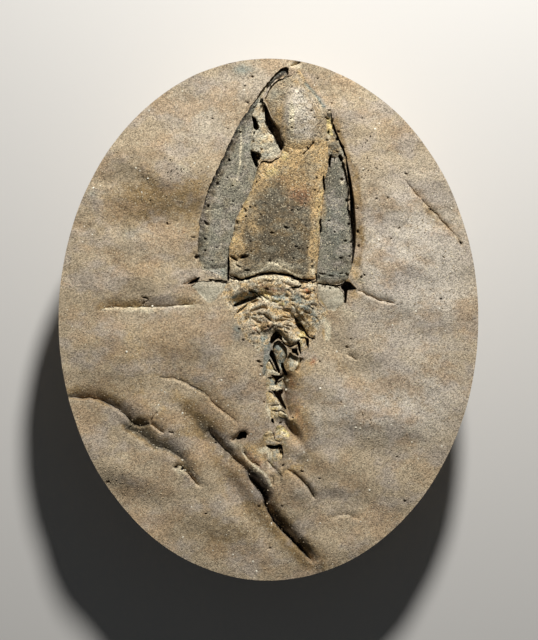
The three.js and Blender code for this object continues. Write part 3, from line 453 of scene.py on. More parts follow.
# Dabs of colour, by mask, with painted shade and light among them. A patch is an oval and its
# strength. A streak is a traced line, its reaches to the left and to the right, and its strength.
ROCK_DABS = {
    # Partly painted light: besides the rock's own greyer tone, these pale patches brighten and grey the
    # face, most of all on its right side.
    "pale": [
        (405, 140, 80, 60, -30, 0.3), (415, 270, 66, 100, 0, 1.0), (410, 400, 60, 50, 0, 0.9),
        (362, 408, 40, 30, 0, 1.0), (245, 84, 60, 24, 15, 0.6), (145, 345, 60, 34, 0, 0.2),
        (345, 372, 40, 20, -35, 0.5), (200, 120, 50, 40, -30, 0.6), (190, 112, 40, 26, -30, 0.6),
        (300, 487, 13, 12, -40, 0.7), (318, 425, 9, 30, 0, 0.7), (335, 395, 30, 18, -35, 0.55),
        (390, 420, 50, 34, 0, 0.4), (150, 245, 44, 18, 0, 0.45), (135, 320, 50, 14, 0, 0.4),
        (105, 140, 20, 16, 40, 0.4),
    ],
    # Partly painted shade: besides real brown stains, brown lies along ledges, the groove, the stem's
    # right-hand slope and broad slopes that face away from the lamp.
    "brown": [
        (158, 200, 56, 26, 10, 1.0), (195, 235, 14, 40, 0, 0.6), (230, 540, 60, 26, -20, 0.6),
        (245, 500, 40, 14, -50, 0.8), (180, 430, 50, 16, -30, 0.7), (110, 392, 44, 12, 0, 0.6),
        (294, 400, 9, 46, 0, 0.95), (350, 372, 36, 9, -45, 0.6), (300, 460, 24, 14, 0, 0.6),
        (432, 330, 44, 12, 0, 0.5), (210, 395, 34, 22, -40, 0.5), (358, 240, 5, 40, 0, 0.4),
        (130, 545, 60, 30, 30, 0.4), (275, 520, 12, 34, 42, 0.8), (430, 212, 26, 6, -48, 0.7),
        (340, 150, 5, 30, 10, 0.4), (194, 200, 34, 14, 66, 0.8), (ROCK_LEDGES[0][0], 15, 3, 1.0),
        (ROCK_LEDGES[3][0], 17, 6, 1.0), (ROCK_LEDGES[5][0], 10, 2, 0.6),
        ([(190, 408), (208, 424), (232, 446)], 12, 12, 1.1), (ROCK_LEDGES[7][0], 17, 12, 1.2),
        (262, 450, 50, 38, -45, 0.7), (ROCK_LEDGES[25][0], 14, 20, 1.2), (ROCK_LEDGES[8][0], 11, 2, 0.9),
        ([(284, 372), (285, 390), (287, 408), (292, 422), (302, 442)], 17, 2, 1.3),
        ([(463, 247), (435, 213), (415, 192)], 2, 7, 0.6),
        ([(353, 170), (358, 205), (360, 235), (357, 262)], 6, 3, 1.1),
        ([(346, 160), (352, 190), (355, 225), (354, 262)], 4, 2, 1.3),
        ([(333, 112), (338, 132), (345, 150), (350, 168)], 4, 3, 1.2),
        ([(346, 280), (356, 289), (350, 291), (350, 304)], 3, 3, 1.2), (268, 466, 22, 22, 0, 0.8),
    ],
    # Painted shade: these dark dabs lie on slopes, ledges, the groove and the stem's trough that face
    # away from the lamp.
    "dark": [
        (165, 205, 50, 14, 5, 0.45), (255, 515, 14, 26, -40, 0.35), (292, 385, 7, 10, 0, 0.35),
        (277, 410, 14, 50, 0, 0.2), (ROCK_LEDGES[0][0], 5, 1, 1.1), (ROCK_LEDGES[3][0], 11, 3, 1.0),
        (ROCK_LEDGES[5][0], 2, 0.8, 0.8), ([(200, 416), (214, 430), (236, 450)], 7, 7, 0.5),
        (ROCK_LEDGES[7][0], 11, 1, 1.2), (240, 522, 30, 26, -45, 0.35), (ROCK_LEDGES[25][0], 4, 12, 0.8),
        (299, 460, 9, 20, -15, 0.8), ([(205, 425), (222, 440), (238, 462), (256, 484)], 8, 14, 0.75),
        ([(288, 469), (298, 477), (306, 484), (312, 494), (316, 499)], 6, 1, 1.2),
        ([(284, 376), (285, 390), (287, 408), (292, 422), (302, 442)], 5, 2, 0.8),
        ([(280, 418), (287, 423), (293, 430), (301, 441)], 6, 5, 1.4),
        ([(280, 400), (285, 406), (290, 415)], 3, 3, 1.3),
        ([(289, 374), (292, 390), (296, 410), (303, 430)], 8, 4, 0.6),
        ([(248, 462), (258, 476), (268, 492)], 8, 8, 0.8),
        ([(276, 470), (280, 476), (284, 484)], 3, 3, 0.8),
    ],
    "ochre": [
        (140, 350, 60, 36, 0, 0.45), (385, 405, 50, 40, 0, 0.1), (188, 208, 26, 12, 60, 0.45),
        (168, 178, 20, 8, -20, 0.5), (196, 228, 7, 16, 0, 0.4), (150, 268, 44, 20, 0, 0.35),
        (145, 405, 24, 13, -30, 0.6), (296, 398, 11, 40, 0, 0.85), (309, 362, 10, 12, 0, 0.6),
        (356, 275, 6, 14, 20, 0.8), (352, 297, 9, 7, 0, 0.7), (292, 466, 14, 10, 0, 0.7),
        (240, 460, 14, 8, -40, 0.6), (300, 440, 12, 14, 0, 0.6), (305, 80, 8, 10, -30, 0.6),
        (166, 166, 10, 5, 0, 0.6), (120, 545, 20, 20, 0, 0.3), (175, 397, 12, 9, 0, 0.5),
        (90, 300, 26, 40, 0, 0.3),
        ([(290, 372), (294, 390), (296, 408), (300, 422), (306, 440)], 6, 6, 0.75),
        ([(323, 330), (325, 339)], 2, 2, 1.0),
        ([(353, 176), (357, 205), (358, 235), (357, 262)], 3, 2, 0.45),
        ([(299, 72), (310, 84), (322, 100)], 6, 4, 0.7),
        ([(246, 446), (256, 456), (268, 470)], 8, 5, 0.9),
    ],
    "blue": [
        (240, 82, 70, 22, 20, 0.2), (385, 95, 50, 26, -50, 0.4), (243, 69, 13, 7, 0, 0.8),
        (236, 332, 6, 8, 0, 0.9), (268, 352, 4, 18, 0, 0.9), (133, 233, 20, 9, 0, 0.5),
        (315, 322, 7, 8, 0, 0.7), (160, 456, 24, 12, 0, 0.4), (92, 194, 8, 6, 0, 0.6),
        (318, 440, 16, 14, 0, 0.4), (200, 112, 20, 10, 0, 0.4), (360, 280, 6, 5, 0, 0.6),
        ([(306, 84), (318, 96), (324, 106)], 3, 3, 0.9),
        ([(272, 335), (267, 345), (266, 358), (264, 372)], 4, 3, 1.1),
        ([(283, 386), (291, 391)], 3, 3, 0.6),
    ],
    "rust": [
        (313, 361, 3, 5, -25, 0.8), (118, 265, 12, 10, 0, 0.25), (185, 233, 9, 14, 0, 0.3),
        ([(290, 372), (294, 390), (297, 410), (304, 430)], 6, 6, 0.5),
        ([(249, 455), (262, 466)], 5, 5, 0.6),
    ],
    "yellow": [([(268, 447), (270, 456), (272, 466)], 1.5, 1.5, 0.9)],
    "cream": [
        (184, 170, 10, 4, -30, 0.8), (154, 407, 6, 5, -40, 0.9), (178, 470, 7, 5, 0, 0.95),
        # Painted highlight: the thin cream streak at (150, 311) and the one along ROCK_LEDGES[8] light
        # the lower lip of that crack.
        (295, 66, 7, 3, -20, 0.95), (275, 72, 4, 2, 40, 0.9), (150, 311, 45, 2, 0, 0.7),
        (330, 325, 5, 8, 0, 0.5), (237, 444, 8, 5, 0, 0.75), (268, 398, 4, 10, 0, 0.7),
        (350, 312, 16, 8, -30, 0.5), (262, 451, 5, 3, 0, 0.8), (270, 456, 3, 6, 0, 0.7),
        (205, 130, 14, 10, 0, 0.35), (339, 118, 4, 14, 20, 0.4), (402, 420, 46, 34, 0, 0.35),
        (ROCK_LEDGES[8][0], 0.5, 3, 0.9), ([(325, 319), (329, 327), (328, 338)], 3, 4, 1.1),
        ([(269, 391), (267, 403), (269, 411), (271, 417)], 2, 4, 0.9),
        ([(268, 449), (269.5, 457), (270, 467)], 2, 2, 1.0), ([(263, 450), (269, 448)], 2.5, 2.5, 1.1),
        ([(238, 442), (244, 455), (253, 465), (266, 475), (271, 486)], 1.5, 1.5, 1.0),
        ([(283, 377), (287, 380.5)], 1.8, 1.8, 1.2),
    ],
    # Painted shade: near-black streaks along the groove, the valley above it and the shaded slope beside
    # the stem.
    "hollow": [
        (ROCK_LEDGES[25][0][3:], 3, 3, 0.8), (ROCK_LEDGES[7][0][:-2], 7, 0.8, 1.4),
        ([(281, 417), (287, 422), (293, 430), (300, 440)], 3, 3, 0.8),
    ],
}
MIDDLE_PLATE_DABS = {
    "pale": [(301, 112, 17, 30, 0, 1.1), (306, 128, 12, 16, 0, 0.9)],
    "brown": [
        # Painted shade: the brown streak at (277, 120) darkens the bulge's steep left flank, which faces
        # away from the lamp.
        (277, 120, 4, 20, -12, 0.8), (319, 122, 5, 22, 12, 0.5), (297, 82, 16, 6, 0, 0.7),
        (284, 194, 30, 18, 0, 1.2), ([(321, 170), (317, 215), (314, 262)], 6, 6, 1.0),
        ([(256, 175), (248, 205), (240, 230), (236, 256)], 8, 8, 1.1),
    ],
    "dark": [(281, 225, 34, 34, 0, 2.0), (283, 252, 40, 20, 0, 2.0)],
    "ochre": [
        (316, 104, 5, 18, 15, 0.5), (290, 163, 40, 14, 0, 1.0), (263, 178, 9, 16, 0, 0.8),
        (315, 210, 6, 54, 0, 0.8), (246, 212, 9, 26, 25, 0.7), (238, 245, 8, 18, 10, 0.8),
        (279, 120, 5, 22, -12, 0.7), (284, 132, 3, 14, 0, 0.7), (300, 182, 18, 10, 0, 0.7),
        ([(262, 163), (275, 155), (295, 154), (325, 152)], 14, 16, 1.5),
        ([(325, 150), (321, 180), (316, 215), (313, 250), (312, 277)], 9, 6, 1.0),
        ([(259, 165), (250, 198), (240, 222), (233, 245), (233, 262)], 9, 9, 0.8),
        ([(299, 72), (310, 84), (322, 100)], 6, 4, 0.7),
    ],
    "blue": [
        (303, 96, 12, 12, 0, 0.25), (275, 94, 8, 9, 0, 0.6), (302, 112, 10, 26, 0, 0.35),
        (303, 138, 12, 8, 0, 0.4), (320, 96, 6, 9, -40, 0.7),
        ([(306, 84), (318, 96), (324, 106)], 3, 3, 0.9),
    ],
    "rust": [
        (300, 194, 22, 18, 0, 0.45), (300, 172, 16, 8, 0, 0.4), (280, 178, 10, 5, 0, 0.4),
        (281, 122, 3, 10, 0, 0.2),
    ],
    "yellow": [
        (272, 172, 10, 5, 0, 0.7), (283, 157, 6, 5, 0, 0.7), (317, 200, 4, 10, 0, 0.4),
        (236, 240, 4, 9, 20, 0.3), ([(257, 172), (247, 202), (238, 222), (232, 245)], 1.5, 1.5, 0.5),
        ([(322, 190), (318, 225), (314, 255)], 1.5, 1.5, 0.5),
    ],
    "cream": [
        # Painted highlight: the narrow cream streak at (291.5, 120) is the bright crest of the bulge.
        (291.5, 120, 2.4, 16, 0, 1.5), (272, 268, 20, 5, 0, 0.95), (290, 268, 14, 3.5, -30, 0.9),
        (235, 266, 5, 8, 25, 0.95), (313, 272, 4, 7, 0, 0.7), (298, 112, 18, 26, 0, 0.35),
        ([(237, 276), (250, 275), (262, 269), (272, 264), (284, 268), (300, 277)], 3, 2.5, 1.2),
        ([(288, 73), (300, 67)], 1.5, 1.5, 1.2),
    ],
    # Painted shade: a near-black streak in the crescent's shaded crease at the top of the head.
    "hollow": [([(281, 78), (294, 71)], 4, 3, 1.0)],
}
LEFT_SIDE_PLATE_DABS = {
    "brown": [
        ([(213, 180), (206, 215), (204, 250)], 9, 9, 0.5),
        ([(228, 200), (224, 230), (218, 262)], 8, 8, 0.45),
    ],
    # Painted shadow: the dark streaks and patches along the left margin stand for the shadow that the
    # higher rock casts there, and those at the top darken the crescent in shade.
    "dark": [
        (203, 232, 6, 40, 0, 0.45), (219, 170, 5, 30, -25, 0.5), (250, 110, 6, 26, -35, 0.6),
        (LEFT_SIDE_PLATE_FOLDS[0][0], 7, 7, 1.7),
        ([(287, 72), (277, 76), (269, 84), (262, 94)], 4, 4, 1.5),
        ([(287, 71), (279, 73), (269, 83), (261, 95), (253, 108)], 5, 5, 1.6),
    ],
    "ochre": [(250, 180, 4, 20, 20, 0.5)],
    "blue": [
        (219, 272, 10, 4, 0, 0.8), (247, 140, 5, 26, 0, 0.5), (222, 225, 20, 50, -15, 0.4),
        ([(287, 71), (279, 73), (269, 83), (261, 95), (253, 108)], 5, 5, 0.6),
    ],
    "yellow": [(234, 182, 7, 6, 0, 0.4)],
    "cream": [
        (243, 172, 4, 6, 0, 0.4), (207, 211, 2.5, 1.6, 30, 0.8), (208, 227, 2, 3, 30, 0.6),
        (202, 267, 4, 4, 0, 0.7), (212, 276, 14, 2, -12, 0.7), (262, 93, 2, 7, -15, 0.9),
        ([(283, 76), (286, 73)], 1.2, 1.2, 1.4),
        ([(240, 124), (241.5, 140), (240, 150), (240.5, 162), (237, 180)], 1.2, 1.2, 1.0),
        ([(268, 83), (262, 97)], 1.2, 1.2, 1.3),
        ([(198, 262), (204, 271), (214, 276), (226, 280)], 2, 2, 0.9),
    ],
    # Painted shade: near-black streaks along the shaded left margin and in the crescent at the top.
    "hollow": [
        (LEFT_SIDE_PLATE_FOLDS[0][0][1:8], 3.5, 3.5, 1.1),
        ([(290, 70), (283, 73), (276, 78), (268, 86)], 3, 3, 0.8),
        ([(288, 68), (280, 69), (273, 76), (263, 87), (255, 100)], 1, 1, 1.2),
    ],
}
RIGHT_SIDE_PLATE_DABS = {
    "dark": [
        (347, 230, 5, 40, 0, 0.35), (334, 163, 9, 8, 0, 0.3),
        # Painted shadow: this dark streak along the right margin stands for the shadow of the rock
        # beside it.
        ([(347, 165), (350, 190), (354, 225), (355, 262)], 2, 5, 1.2),
        ([(332, 170), (336, 210), (338, 262)], 14, 14, 0.95), ([(333, 165), (335, 180)], 6, 6, 0.6),
    ],
    "ochre": [(324, 208, 3, 20, 0, 0.6), (336, 282, 10, 2, 0, 0.5)],
    "blue": [(336, 220, 16, 62, 0, 0.6), (335, 274, 12, 4, 0, 0.6)],
    "cream": [
        (334, 280, 14, 2.5, 0, 0.6), (347, 205, 2, 2, 0, 0.8), (345, 243.5, 2.4, 1.2, 0, 0.8),
        (342, 182, 4, 3, 0, 0.6),
    ],
}
WEDGE_DABS = {
    "brown": [(332, 120, 3, 14, -15, 0.8), (333, 142, 8, 12, 0, 0.8)],
    "dark": [
        (335, 148, 7, 10, 0, 1.0), (335, 133, 3, 10, -20, 0.9),
        # Painted shade: this dark streak follows the crack at the right wedge's edge.
        ([(329, 107), (331.5, 116), (334, 125), (338, 136)], 2, 1, 1.2),
    ],
    "ochre": [(257, 110, 5, 8, 0, 0.5), (258, 137, 4, 8, 0, 0.4)],
    "blue": [(267, 154, 5, 3, 0, 0.7)],
    "yellow": [
        (265, 143, 7, 12, 0, 0.4), (329, 126, 3, 9, 0, 0.9), (266, 166, 9, 5, 0, 0.6),
        ([(326, 114), (329, 124), (332, 134)], 1.5, 1.5, 0.9),
    ],
    "cream": [(268, 145, 6, 12, 0, 0.7), (262, 97, 2, 5, 0, 0.8)],
}
CORNER_DABS = {
    "ochre": [(352, 296, 6, 6, 0, 0.5)],
    "blue": [(330, 297, 9, 9, 0, 0.35), (204, 292, 8, 7, 0, 0.3)],
    "yellow": [(322, 304, 2, 6, 20, 0.7)],
    "cream": [(222, 286, 6, 4, 0, 0.5)],
}
STEM_ROOT_DABS = {
    "brown": [
        ([(230, 290), (242, 290), (252, 287)], 5, 5, 0.5),
        ([(300, 305), (306, 318), (310, 332)], 5, 5, 1.2),
        ([(283, 335), (288, 342), (297, 341)], 5, 5, 1.1), ([(255, 283), (280, 284)], 5, 5, 0.8),
    ],
    # Painted shade: the dark streaks under the root's upper roll and round the hole at its lower left
    # darken hollows where shade falls.
    "dark": [
        (291, 341, 7, 4, 0, 0.5), ([(232, 302), (243, 300), (255, 295)], 5, 5, 1.8),
        ([(266, 338), (268, 350), (266, 362)], 3, 3, 0.8),
        ([(264, 334), (272, 330), (279, 329)], 4, 4, 0.8),
    ],
    "ochre": [
        (262, 289, 8, 8, 0, 0.8), (250, 305, 6, 5, 20, 0.9), (277, 313, 10, 6, 0, 0.7),
        (308, 293, 6, 6, 0, 0.9), (298, 336, 5, 7, 0, 0.9),
        ([(270, 309), (280, 312), (288, 315)], 5, 5, 1.0),
        ([(237, 313), (245, 307), (258, 298)], 2, 2.5, 1.5), ([(297, 331), (300, 338)], 4, 4, 1.3),
        ([(304, 288), (311, 296)], 5, 5, 1.2), ([(252, 291), (264, 294), (270, 300)], 4, 4, 0.9),
    ],
    "blue": [
        (286, 297, 8, 5, 0, 0.8), (305, 305, 6, 6, 0, 0.85), (317, 321, 7, 8, 0, 0.7),
        (274, 302, 6, 4, 0, 0.5), ([(232, 300), (243, 297), (255, 293)], 6, 6, 0.9),
        ([(264, 338), (265, 350), (264, 360)], 4, 4, 1.2), ([(232, 324), (235, 336)], 4, 4, 1.2),
        ([(312, 312), (318, 328)], 5, 5, 0.8), ([(296, 298), (306, 306)], 5, 5, 1.2),
        ([(274, 296), (292, 302)], 5, 5, 1.1),
    ],
    "rust": [
        (265, 326, 6, 5, 0, 0.8), (243, 331, 3, 6, 0, 0.7), (309, 293, 4, 3, 0, 0.6),
        ([(305, 289), (312, 294)], 3, 3, 0.8), ([(262, 286), (272, 291), (282, 290)], 4, 4, 0.6),
        ([(249, 322), (256, 330)], 3, 3, 0.6),
    ],
    "yellow": [
        (304, 346, 5, 8, 0, 0.9), (248, 305, 5, 3, 20, 0.6), ([(262, 290), (269, 297)], 3, 3, 0.8),
        ([(302, 333), (303, 347)], 4, 4, 1.2), ([(263, 296), (272, 300), (283, 304)], 2, 2, 1.0),
    ],
    "cream": [
        (240, 280, 12, 3, 0, 0.6), (275, 280, 18, 5, 0, 0.6), (310, 284, 8, 4, 0, 0.7),
        (262, 327, 10, 4, 0, 0.5), (245, 303, 10, 1.6, 28, 0.8), (265, 299, 6, 1.8, -40, 0.8),
        (296, 340, 6, 2.5, 0, 0.8), ([(231, 285), (235, 288)], 1, 1, 1.2),
        ([(252, 307), (260, 305)], 3, 3, 0.9), ([(326, 318), (328, 334)], 3, 3, 0.8),
        ([(239, 311), (248, 304), (256, 299)], 1.2, 0.5, 1.3), ([(257, 296), (266, 299)], 1.5, 1.5, 1.0),
        ([(290, 339.5), (299, 339)], 1.5, 1.5, 1.3),
        ([(236, 281), (258, 278), (280, 277), (300, 283)], 2, 2, 1.1),
        ([(264, 336), (258, 327), (250, 322), (240, 318)], 2, 2, 0.9),
    ],
    # Painted shade: a near-black streak in the hollow under the root's upper roll.
    "hollow": [([(234, 306), (245, 302), (256, 297)], 2, 2, 1.0)],
}
STEM_DABS = {
    "pale": [
        ([(275, 437), (282, 437.5), (288, 439)], 2, 2, 0.9),
        ([(268, 443.5), (276, 443), (286, 443)], 2, 2, 1.0),
    ],
    "brown": [(274, 450, 16, 14, 0, 0.75), (292, 360, 9, 10, 0, 0.5), (276, 408, 9, 34, 0, 0.45)],
    "dark": [
        (276, 355, 3, 8, 0, 0.4), (282, 442, 6, 3, 0, 0.4), (279, 408, 7, 34, 0, 0.35),
        ([(277, 342), (279, 352), (281, 362)], 5, 5, 0.6),
    ],
    "ochre": [([(278, 428), (284, 431), (288, 434.5)], 3, 3, 1.6)],
    "blue": [
        (270, 382, 4, 4, 0, 0.8), (279, 383, 3, 3, 0, 0.6), (277, 455, 5, 5, 0, 0.5),
        (280, 350, 5, 9, 0, 0.5), ([(268, 380), (273, 384)], 3, 3, 1.4),
        ([(280, 381), (280, 386)], 2, 2, 1.2), ([(276, 452), (276, 459)], 4, 4, 0.9),
        ([(278, 345), (280, 356), (281, 366)], 6, 6, 1.3), ([(292, 357), (291, 368)], 3, 3, 1.2),
    ],
    "rust": [(283, 437, 6, 2, 0, 0.4)],
    "yellow": [
        (283, 429, 5, 4, -30, 0.95), (271, 397, 3, 5, 0, 0.5), (298, 361, 2, 5, 20, 0.7),
        ([(267, 365), (272, 368), (276, 371)], 3, 3, 1.0), ([(270, 408), (278, 408)], 1.5, 1.5, 1.0),
        ([(276, 428), (281, 429.5), (289, 435.5)], 2.4, 2.4, 1.8),
    ],
    # Partly painted highlight: the cream streaks along the ossicles' lower rims stand for their lit,
    # upward-facing edges as well as their own cream colour.
    "cream": [
        (273, 371, 8, 2, 0, 0.9), (274, 388.5, 8, 2, 0, 0.9), (275, 406, 7, 2, 0, 0.9),
        (283, 413, 8, 1.6, -35, 0.8), (284, 434, 6, 1.6, -30, 0.8), (292, 361, 5, 8, 0, 0.6),
        ([(265, 371), (270, 371), (275, 373), (282, 375)], 2.2, 2.2, 1.6),
        ([(270, 360), (269, 366)], 2, 2, 1.2),
        ([(266, 388.5), (272, 387.5), (277, 388), (282, 390)], 2, 2, 1.6),
        ([(269, 405.5), (280, 405.5)], 2, 2, 1.6),
        ([(281, 409), (284, 412), (288.5, 417.5)], 1.8, 1.8, 1.6),
        ([(276, 401), (278, 403)], 1.5, 1.5, 1.4),
        ([(264, 434), (269, 431.5), (274, 434)], 1.2, 1.2, 1.2),
        ([(271, 450), (271, 459)], 1.2, 1.2, 1.2), ([(299, 357), (296, 364)], 2, 2, 1.2),
        ([(287, 352), (287, 362)], 1.2, 1.2, 1.0),
    ],
}


# Kinds of stone: the base, cool and warm colours, how strong the blotches are and their size,
# the grains' size and contrast, the share of crystals and the height of the bump. Sizes and
# the height are millimetres.
STONE_KINDS = {
    "sandstone": ("rock", "rock_cool", "rock_warm", 0.6, 3.6, 0.12, 0.5, 0.04, 0.05),
    "grey plate": ("grey_plate", "grey_blotch", "rock_cool", 0.45, 1.6, 0.12, 0.75, 0.06, 0.065),
    "middle plate": ("middle_plate", "grey_plate", "brown", 0.5, 1.6, 0.12, 0.75, 0.06, 0.07),
    "crumbly plate": ("pale_plate", "grey_plate", "ochre", 0.6, 0.9, 0.15, 0.6, 0.08, 0.1),
    "pale plate": ("pale_plate", "grey_plate", "rock", 0.3, 1.8, 0.12, 0.42, 0.05, 0.05),
    "stem root": ("rock", "pale_plate", "ochre", 0.85, 0.7, 0.13, 0.75, 0.08, 0.08),
    "stem": ("stem", "pale_plate", "ochre", 0.65, 0.6, 0.13, 0.6, 0.07, 0.07),
}

# The masks of colour, in the order that they are laid over each other, those with soft
# edges, how ragged those edges are, and how dark the stones' walls are. The hollow mask is
# painted shade; dark and brown are partly painted shade, pale and cream partly painted light.
MASKS = ("rock", "pale", "brown", "dark", "ochre", "blue", "rust", "yellow", "cream",
         "hollow")
SMOOTH_MASKS = ("rock", "pale", "blue", "hollow")
SOFT_RAGGEDNESS = 0.3
WALL_DARKNESS = 0.15


def traced(points):
    """Traced pixels as millimetres from the slab's centre, with +Y towards the head."""
    return (np.asarray(points, float) - TRACE_CENTRE) * (MM_PER_PIXEL, -MM_PER_PIXEL)


def linear(red, green, blue):
    """A screen colour, from 0 to 255, as the linear colour that Blender works in."""
    shares = (red / 255, green / 255, blue / 255)
    return tuple(s / 12.92 if s <= 0.04045 else ((s + 0.055) / 1.055) ** 2.4 for s in shares)


def smooth_noise(spots, size, seed):
    """Smooth random heights from -1 to 1, in lumps about one size across."""
    lattice_cells = 128
    lattice = np.random.default_rng(seed).uniform(-1, 1, (lattice_cells, lattice_cells))
    scaled = spots / size
    cell = np.floor(scaled).astype(int)
    share = scaled - cell
    share = share * share * (3 - 2 * share)
    low = cell % lattice_cells
    high = (cell + 1) % lattice_cells
    bottom = lattice[low[:, 0], low[:, 1]] * (1 - share[:, 0])
    bottom += lattice[high[:, 0], low[:, 1]] * share[:, 0]
    top = lattice[low[:, 0], high[:, 1]] * (1 - share[:, 0])
    top += lattice[high[:, 0], high[:, 1]] * share[:, 0]
    return bottom * (1 - share[:, 1]) + top * share[:, 1]


def wobble(spots, size, seeds):
    """A smooth random shift of each spot, one seed for each direction."""
    return np.column_stack([smooth_noise(spots, size, seed) for seed in seeds])


def fractal_noise(spots, size, octaves, seed):
    """Smooth noise with finer and fainter lumps added to it."""
    total = np.zeros(len(spots))
    turned = np.array(spots, float)
    turn = np.array([[0.8, 0.6], [-0.6, 0.8]])
    for octave in range(octaves):
        total += smooth_noise(turned, size / 2 ** octave, seed + octave) / 2 ** octave
        turned = turned @ turn
    return total


def soften(points, step, reach, closed=False):
    """A line walked in even steps, with its corners rounded over a reach."""
    points = np.asarray(points, float)
    if closed:
        points = np.vstack([points, points[:1]])
    lengths = np.hypot(*np.diff(points, axis=0).T)
    run = np.concatenate([[0], np.cumsum(lengths)])
    count = max(4, int(round(run[-1] / step)))
    stations = np.linspace(0, run[-1], count, endpoint=not closed)
    walked = np.column_stack([np.interp(stations, run, points[:, axis]) for axis in (0, 1)])
    half = max(1, int(round(reach / step)))
    if not closed:
        half = min(half, count // 4)
    kernel = np.hanning(2 * half + 3)[1:-1]
    kernel /= kernel.sum()
    padding = {"mode": "wrap"} if closed else {"mode": "reflect", "reflect_type": "odd"}
    padded = np.pad(walked, ((half, half), (0, 0)), **padding)
    return np.column_stack([np.convolve(padded[:, axis], kernel, "valid") for axis in (0, 1)])


def outward_normals(outline):
    """Unit normals that point out of a counter-clockwise outline."""
    along = np.roll(outline, -1, axis=0) - np.roll(outline, 1, axis=0)
    along /= np.linalg.norm(along, axis=1)[:, None]
    return np.column_stack([along[:, 1], -along[:, 0]])


def left_of(line):
    """Unit normals that point to the left of a line."""
    along = np.gradient(line, axis=0)
    along /= np.linalg.norm(along, axis=1)[:, None]
    return np.column_stack([-along[:, 1], along[:, 0]])


def near_line(spots, line, reach):
    """Indices of the spots within a line's bounds and a reach around them."""
    low = line.min(axis=0) - reach
    high = line.max(axis=0) + reach
    return np.flatnonzero(np.all((spots > low) & (spots < high), axis=1))


def counter_clockwise(outline):
    """The outline in counter-clockwise order."""
    following = np.roll(outline, -1, axis=0)
    area = np.sum(outline[:, 0] * following[:, 1] - following[:, 0] * outline[:, 1])
    return outline if area > 0 else outline[::-1]


def measure_line(spots, line, closed=False):
    """Distance to a line, the side of it (+1 is left) and the share along it."""
    ends = np.roll(line, -1, axis=0) if closed else line[1:]
    starts = line if closed else line[:-1]
    lengths = np.hypot(*(ends - starts).T)
    run = np.concatenate([[0], np.cumsum(lengths)]) / lengths.sum()
    distance = np.full(len(spots), np.inf)
    side = np.ones(len(spots))
    along = np.zeros(len(spots))
    for index, (start, end) in enumerate(zip(starts, ends)):
        span = end - start
        reach = spots - start
        share = np.clip(reach @ span / (span @ span), 0, 1)
        away = reach - share[:, None] * span
        apart = np.hypot(away[:, 0], away[:, 1])
        closer = apart < distance
        distance = np.where(closer, apart, distance)
        side = np.where(closer, np.sign(span[0] * reach[:, 1] - span[1] * reach[:, 0]), side)
        along = np.where(closer, run[index] + share * (run[index + 1] - run[index]), along)
    return distance, side, along


def inside(spots, outline):
    """Which spots lie inside a closed outline."""
    result = np.zeros(len(spots), bool)
    low = outline.min(axis=0)
    high = outline.max(axis=0)
    near = np.flatnonzero(np.all((spots >= low) & (spots <= high), axis=1))
    x, y = spots[near].T
    crossed = np.zeros(len(near), bool)
    for (x1, y1), (x2, y2) in zip(outline, np.roll(outline, -1, axis=0)):
        if y1 == y2:
            continue
        spans = (y1 > y) != (y2 > y)
        crossed ^= spans & (x < x1 + (y - y1) * (x2 - x1) / (y2 - y1))
    result[near] = crossed
    return result


def oval_offsets(spots, x, y, half_along, half_across, turn):
    """Where spots lie from an oval's centre, in its half widths along and across."""
    angle = math.radians(turn)
    offset = spots - traced((x, y))
    along = offset @ (math.cos(angle), math.sin(angle)) / (half_along * MM_PER_PIXEL)
    across = offset @ (-math.sin(angle), math.cos(angle)) / (half_across * MM_PER_PIXEL)
    return along, across


def bell(spots, *oval):
    """A rounded weight, 1 at an oval's centre and fading over its half widths."""
    along, across = oval_offsets(spots, *oval)
    return np.exp(-np.minimum(along ** 2 + across ** 2, 40))


def swell_height(spots, swells):
    """The height that swells and hollows add."""
    height = np.zeros(len(spots))
    for *oval, rise in swells:
        height += rise * bell(spots, *oval)
    return height


def ledge_line(trace):
    """A ledge's traced line, softened and made a little ragged."""
    line_step = 0.2
    line = soften(traced(trace), line_step, reach=0.5)
    return line + 0.12 * wobble(line, 0.9, (31, 32)) + 0.08 * wobble(line, 0.35, (33, 34))


def ledge_relief(spots, ledges):
    """The depth that ledges take, and how deep in a thin crack each spot lies."""
    crack_half_width = 0.12
    end_share = 0.16
    wide_ledge = 5
    depth_taken = np.zeros(len(spots))
    hollow = np.zeros(len(spots))
    for trace, depth, left, right, crack_depth in ledges:
        line = ledge_line(trace)
        near = near_line(spots, line, (max(left, right) + 1) * MM_PER_PIXEL)
        if not len(near):
            continue
        distance, side, along = measure_line(spots[near], line)
        fade = np.clip(np.minimum(along, 1 - along) / end_share, 0, 1)
        fade = fade * (2 - fade)
        width = np.where(side > 0, left, right) * MM_PER_PIXEL
        closeness = np.clip(1 - distance / width, 0, 1)
        power = np.where(width > wide_ledge * MM_PER_PIXEL, 2.2, 1.3)
        depth_taken[near] += depth * closeness ** power * fade
        broken = np.clip(0.65 + 0.75 * smooth_noise(spots[near], size=0.6, seed=35), 0, 1)
        crack = np.clip(1 - distance / crack_half_width, 0, 1) * fade * broken
        depth_taken[near] += crack_depth * crack
        hollow[near] = np.maximum(hollow[near], crack * min(1, crack_depth * 4))
    return depth_taken, hollow


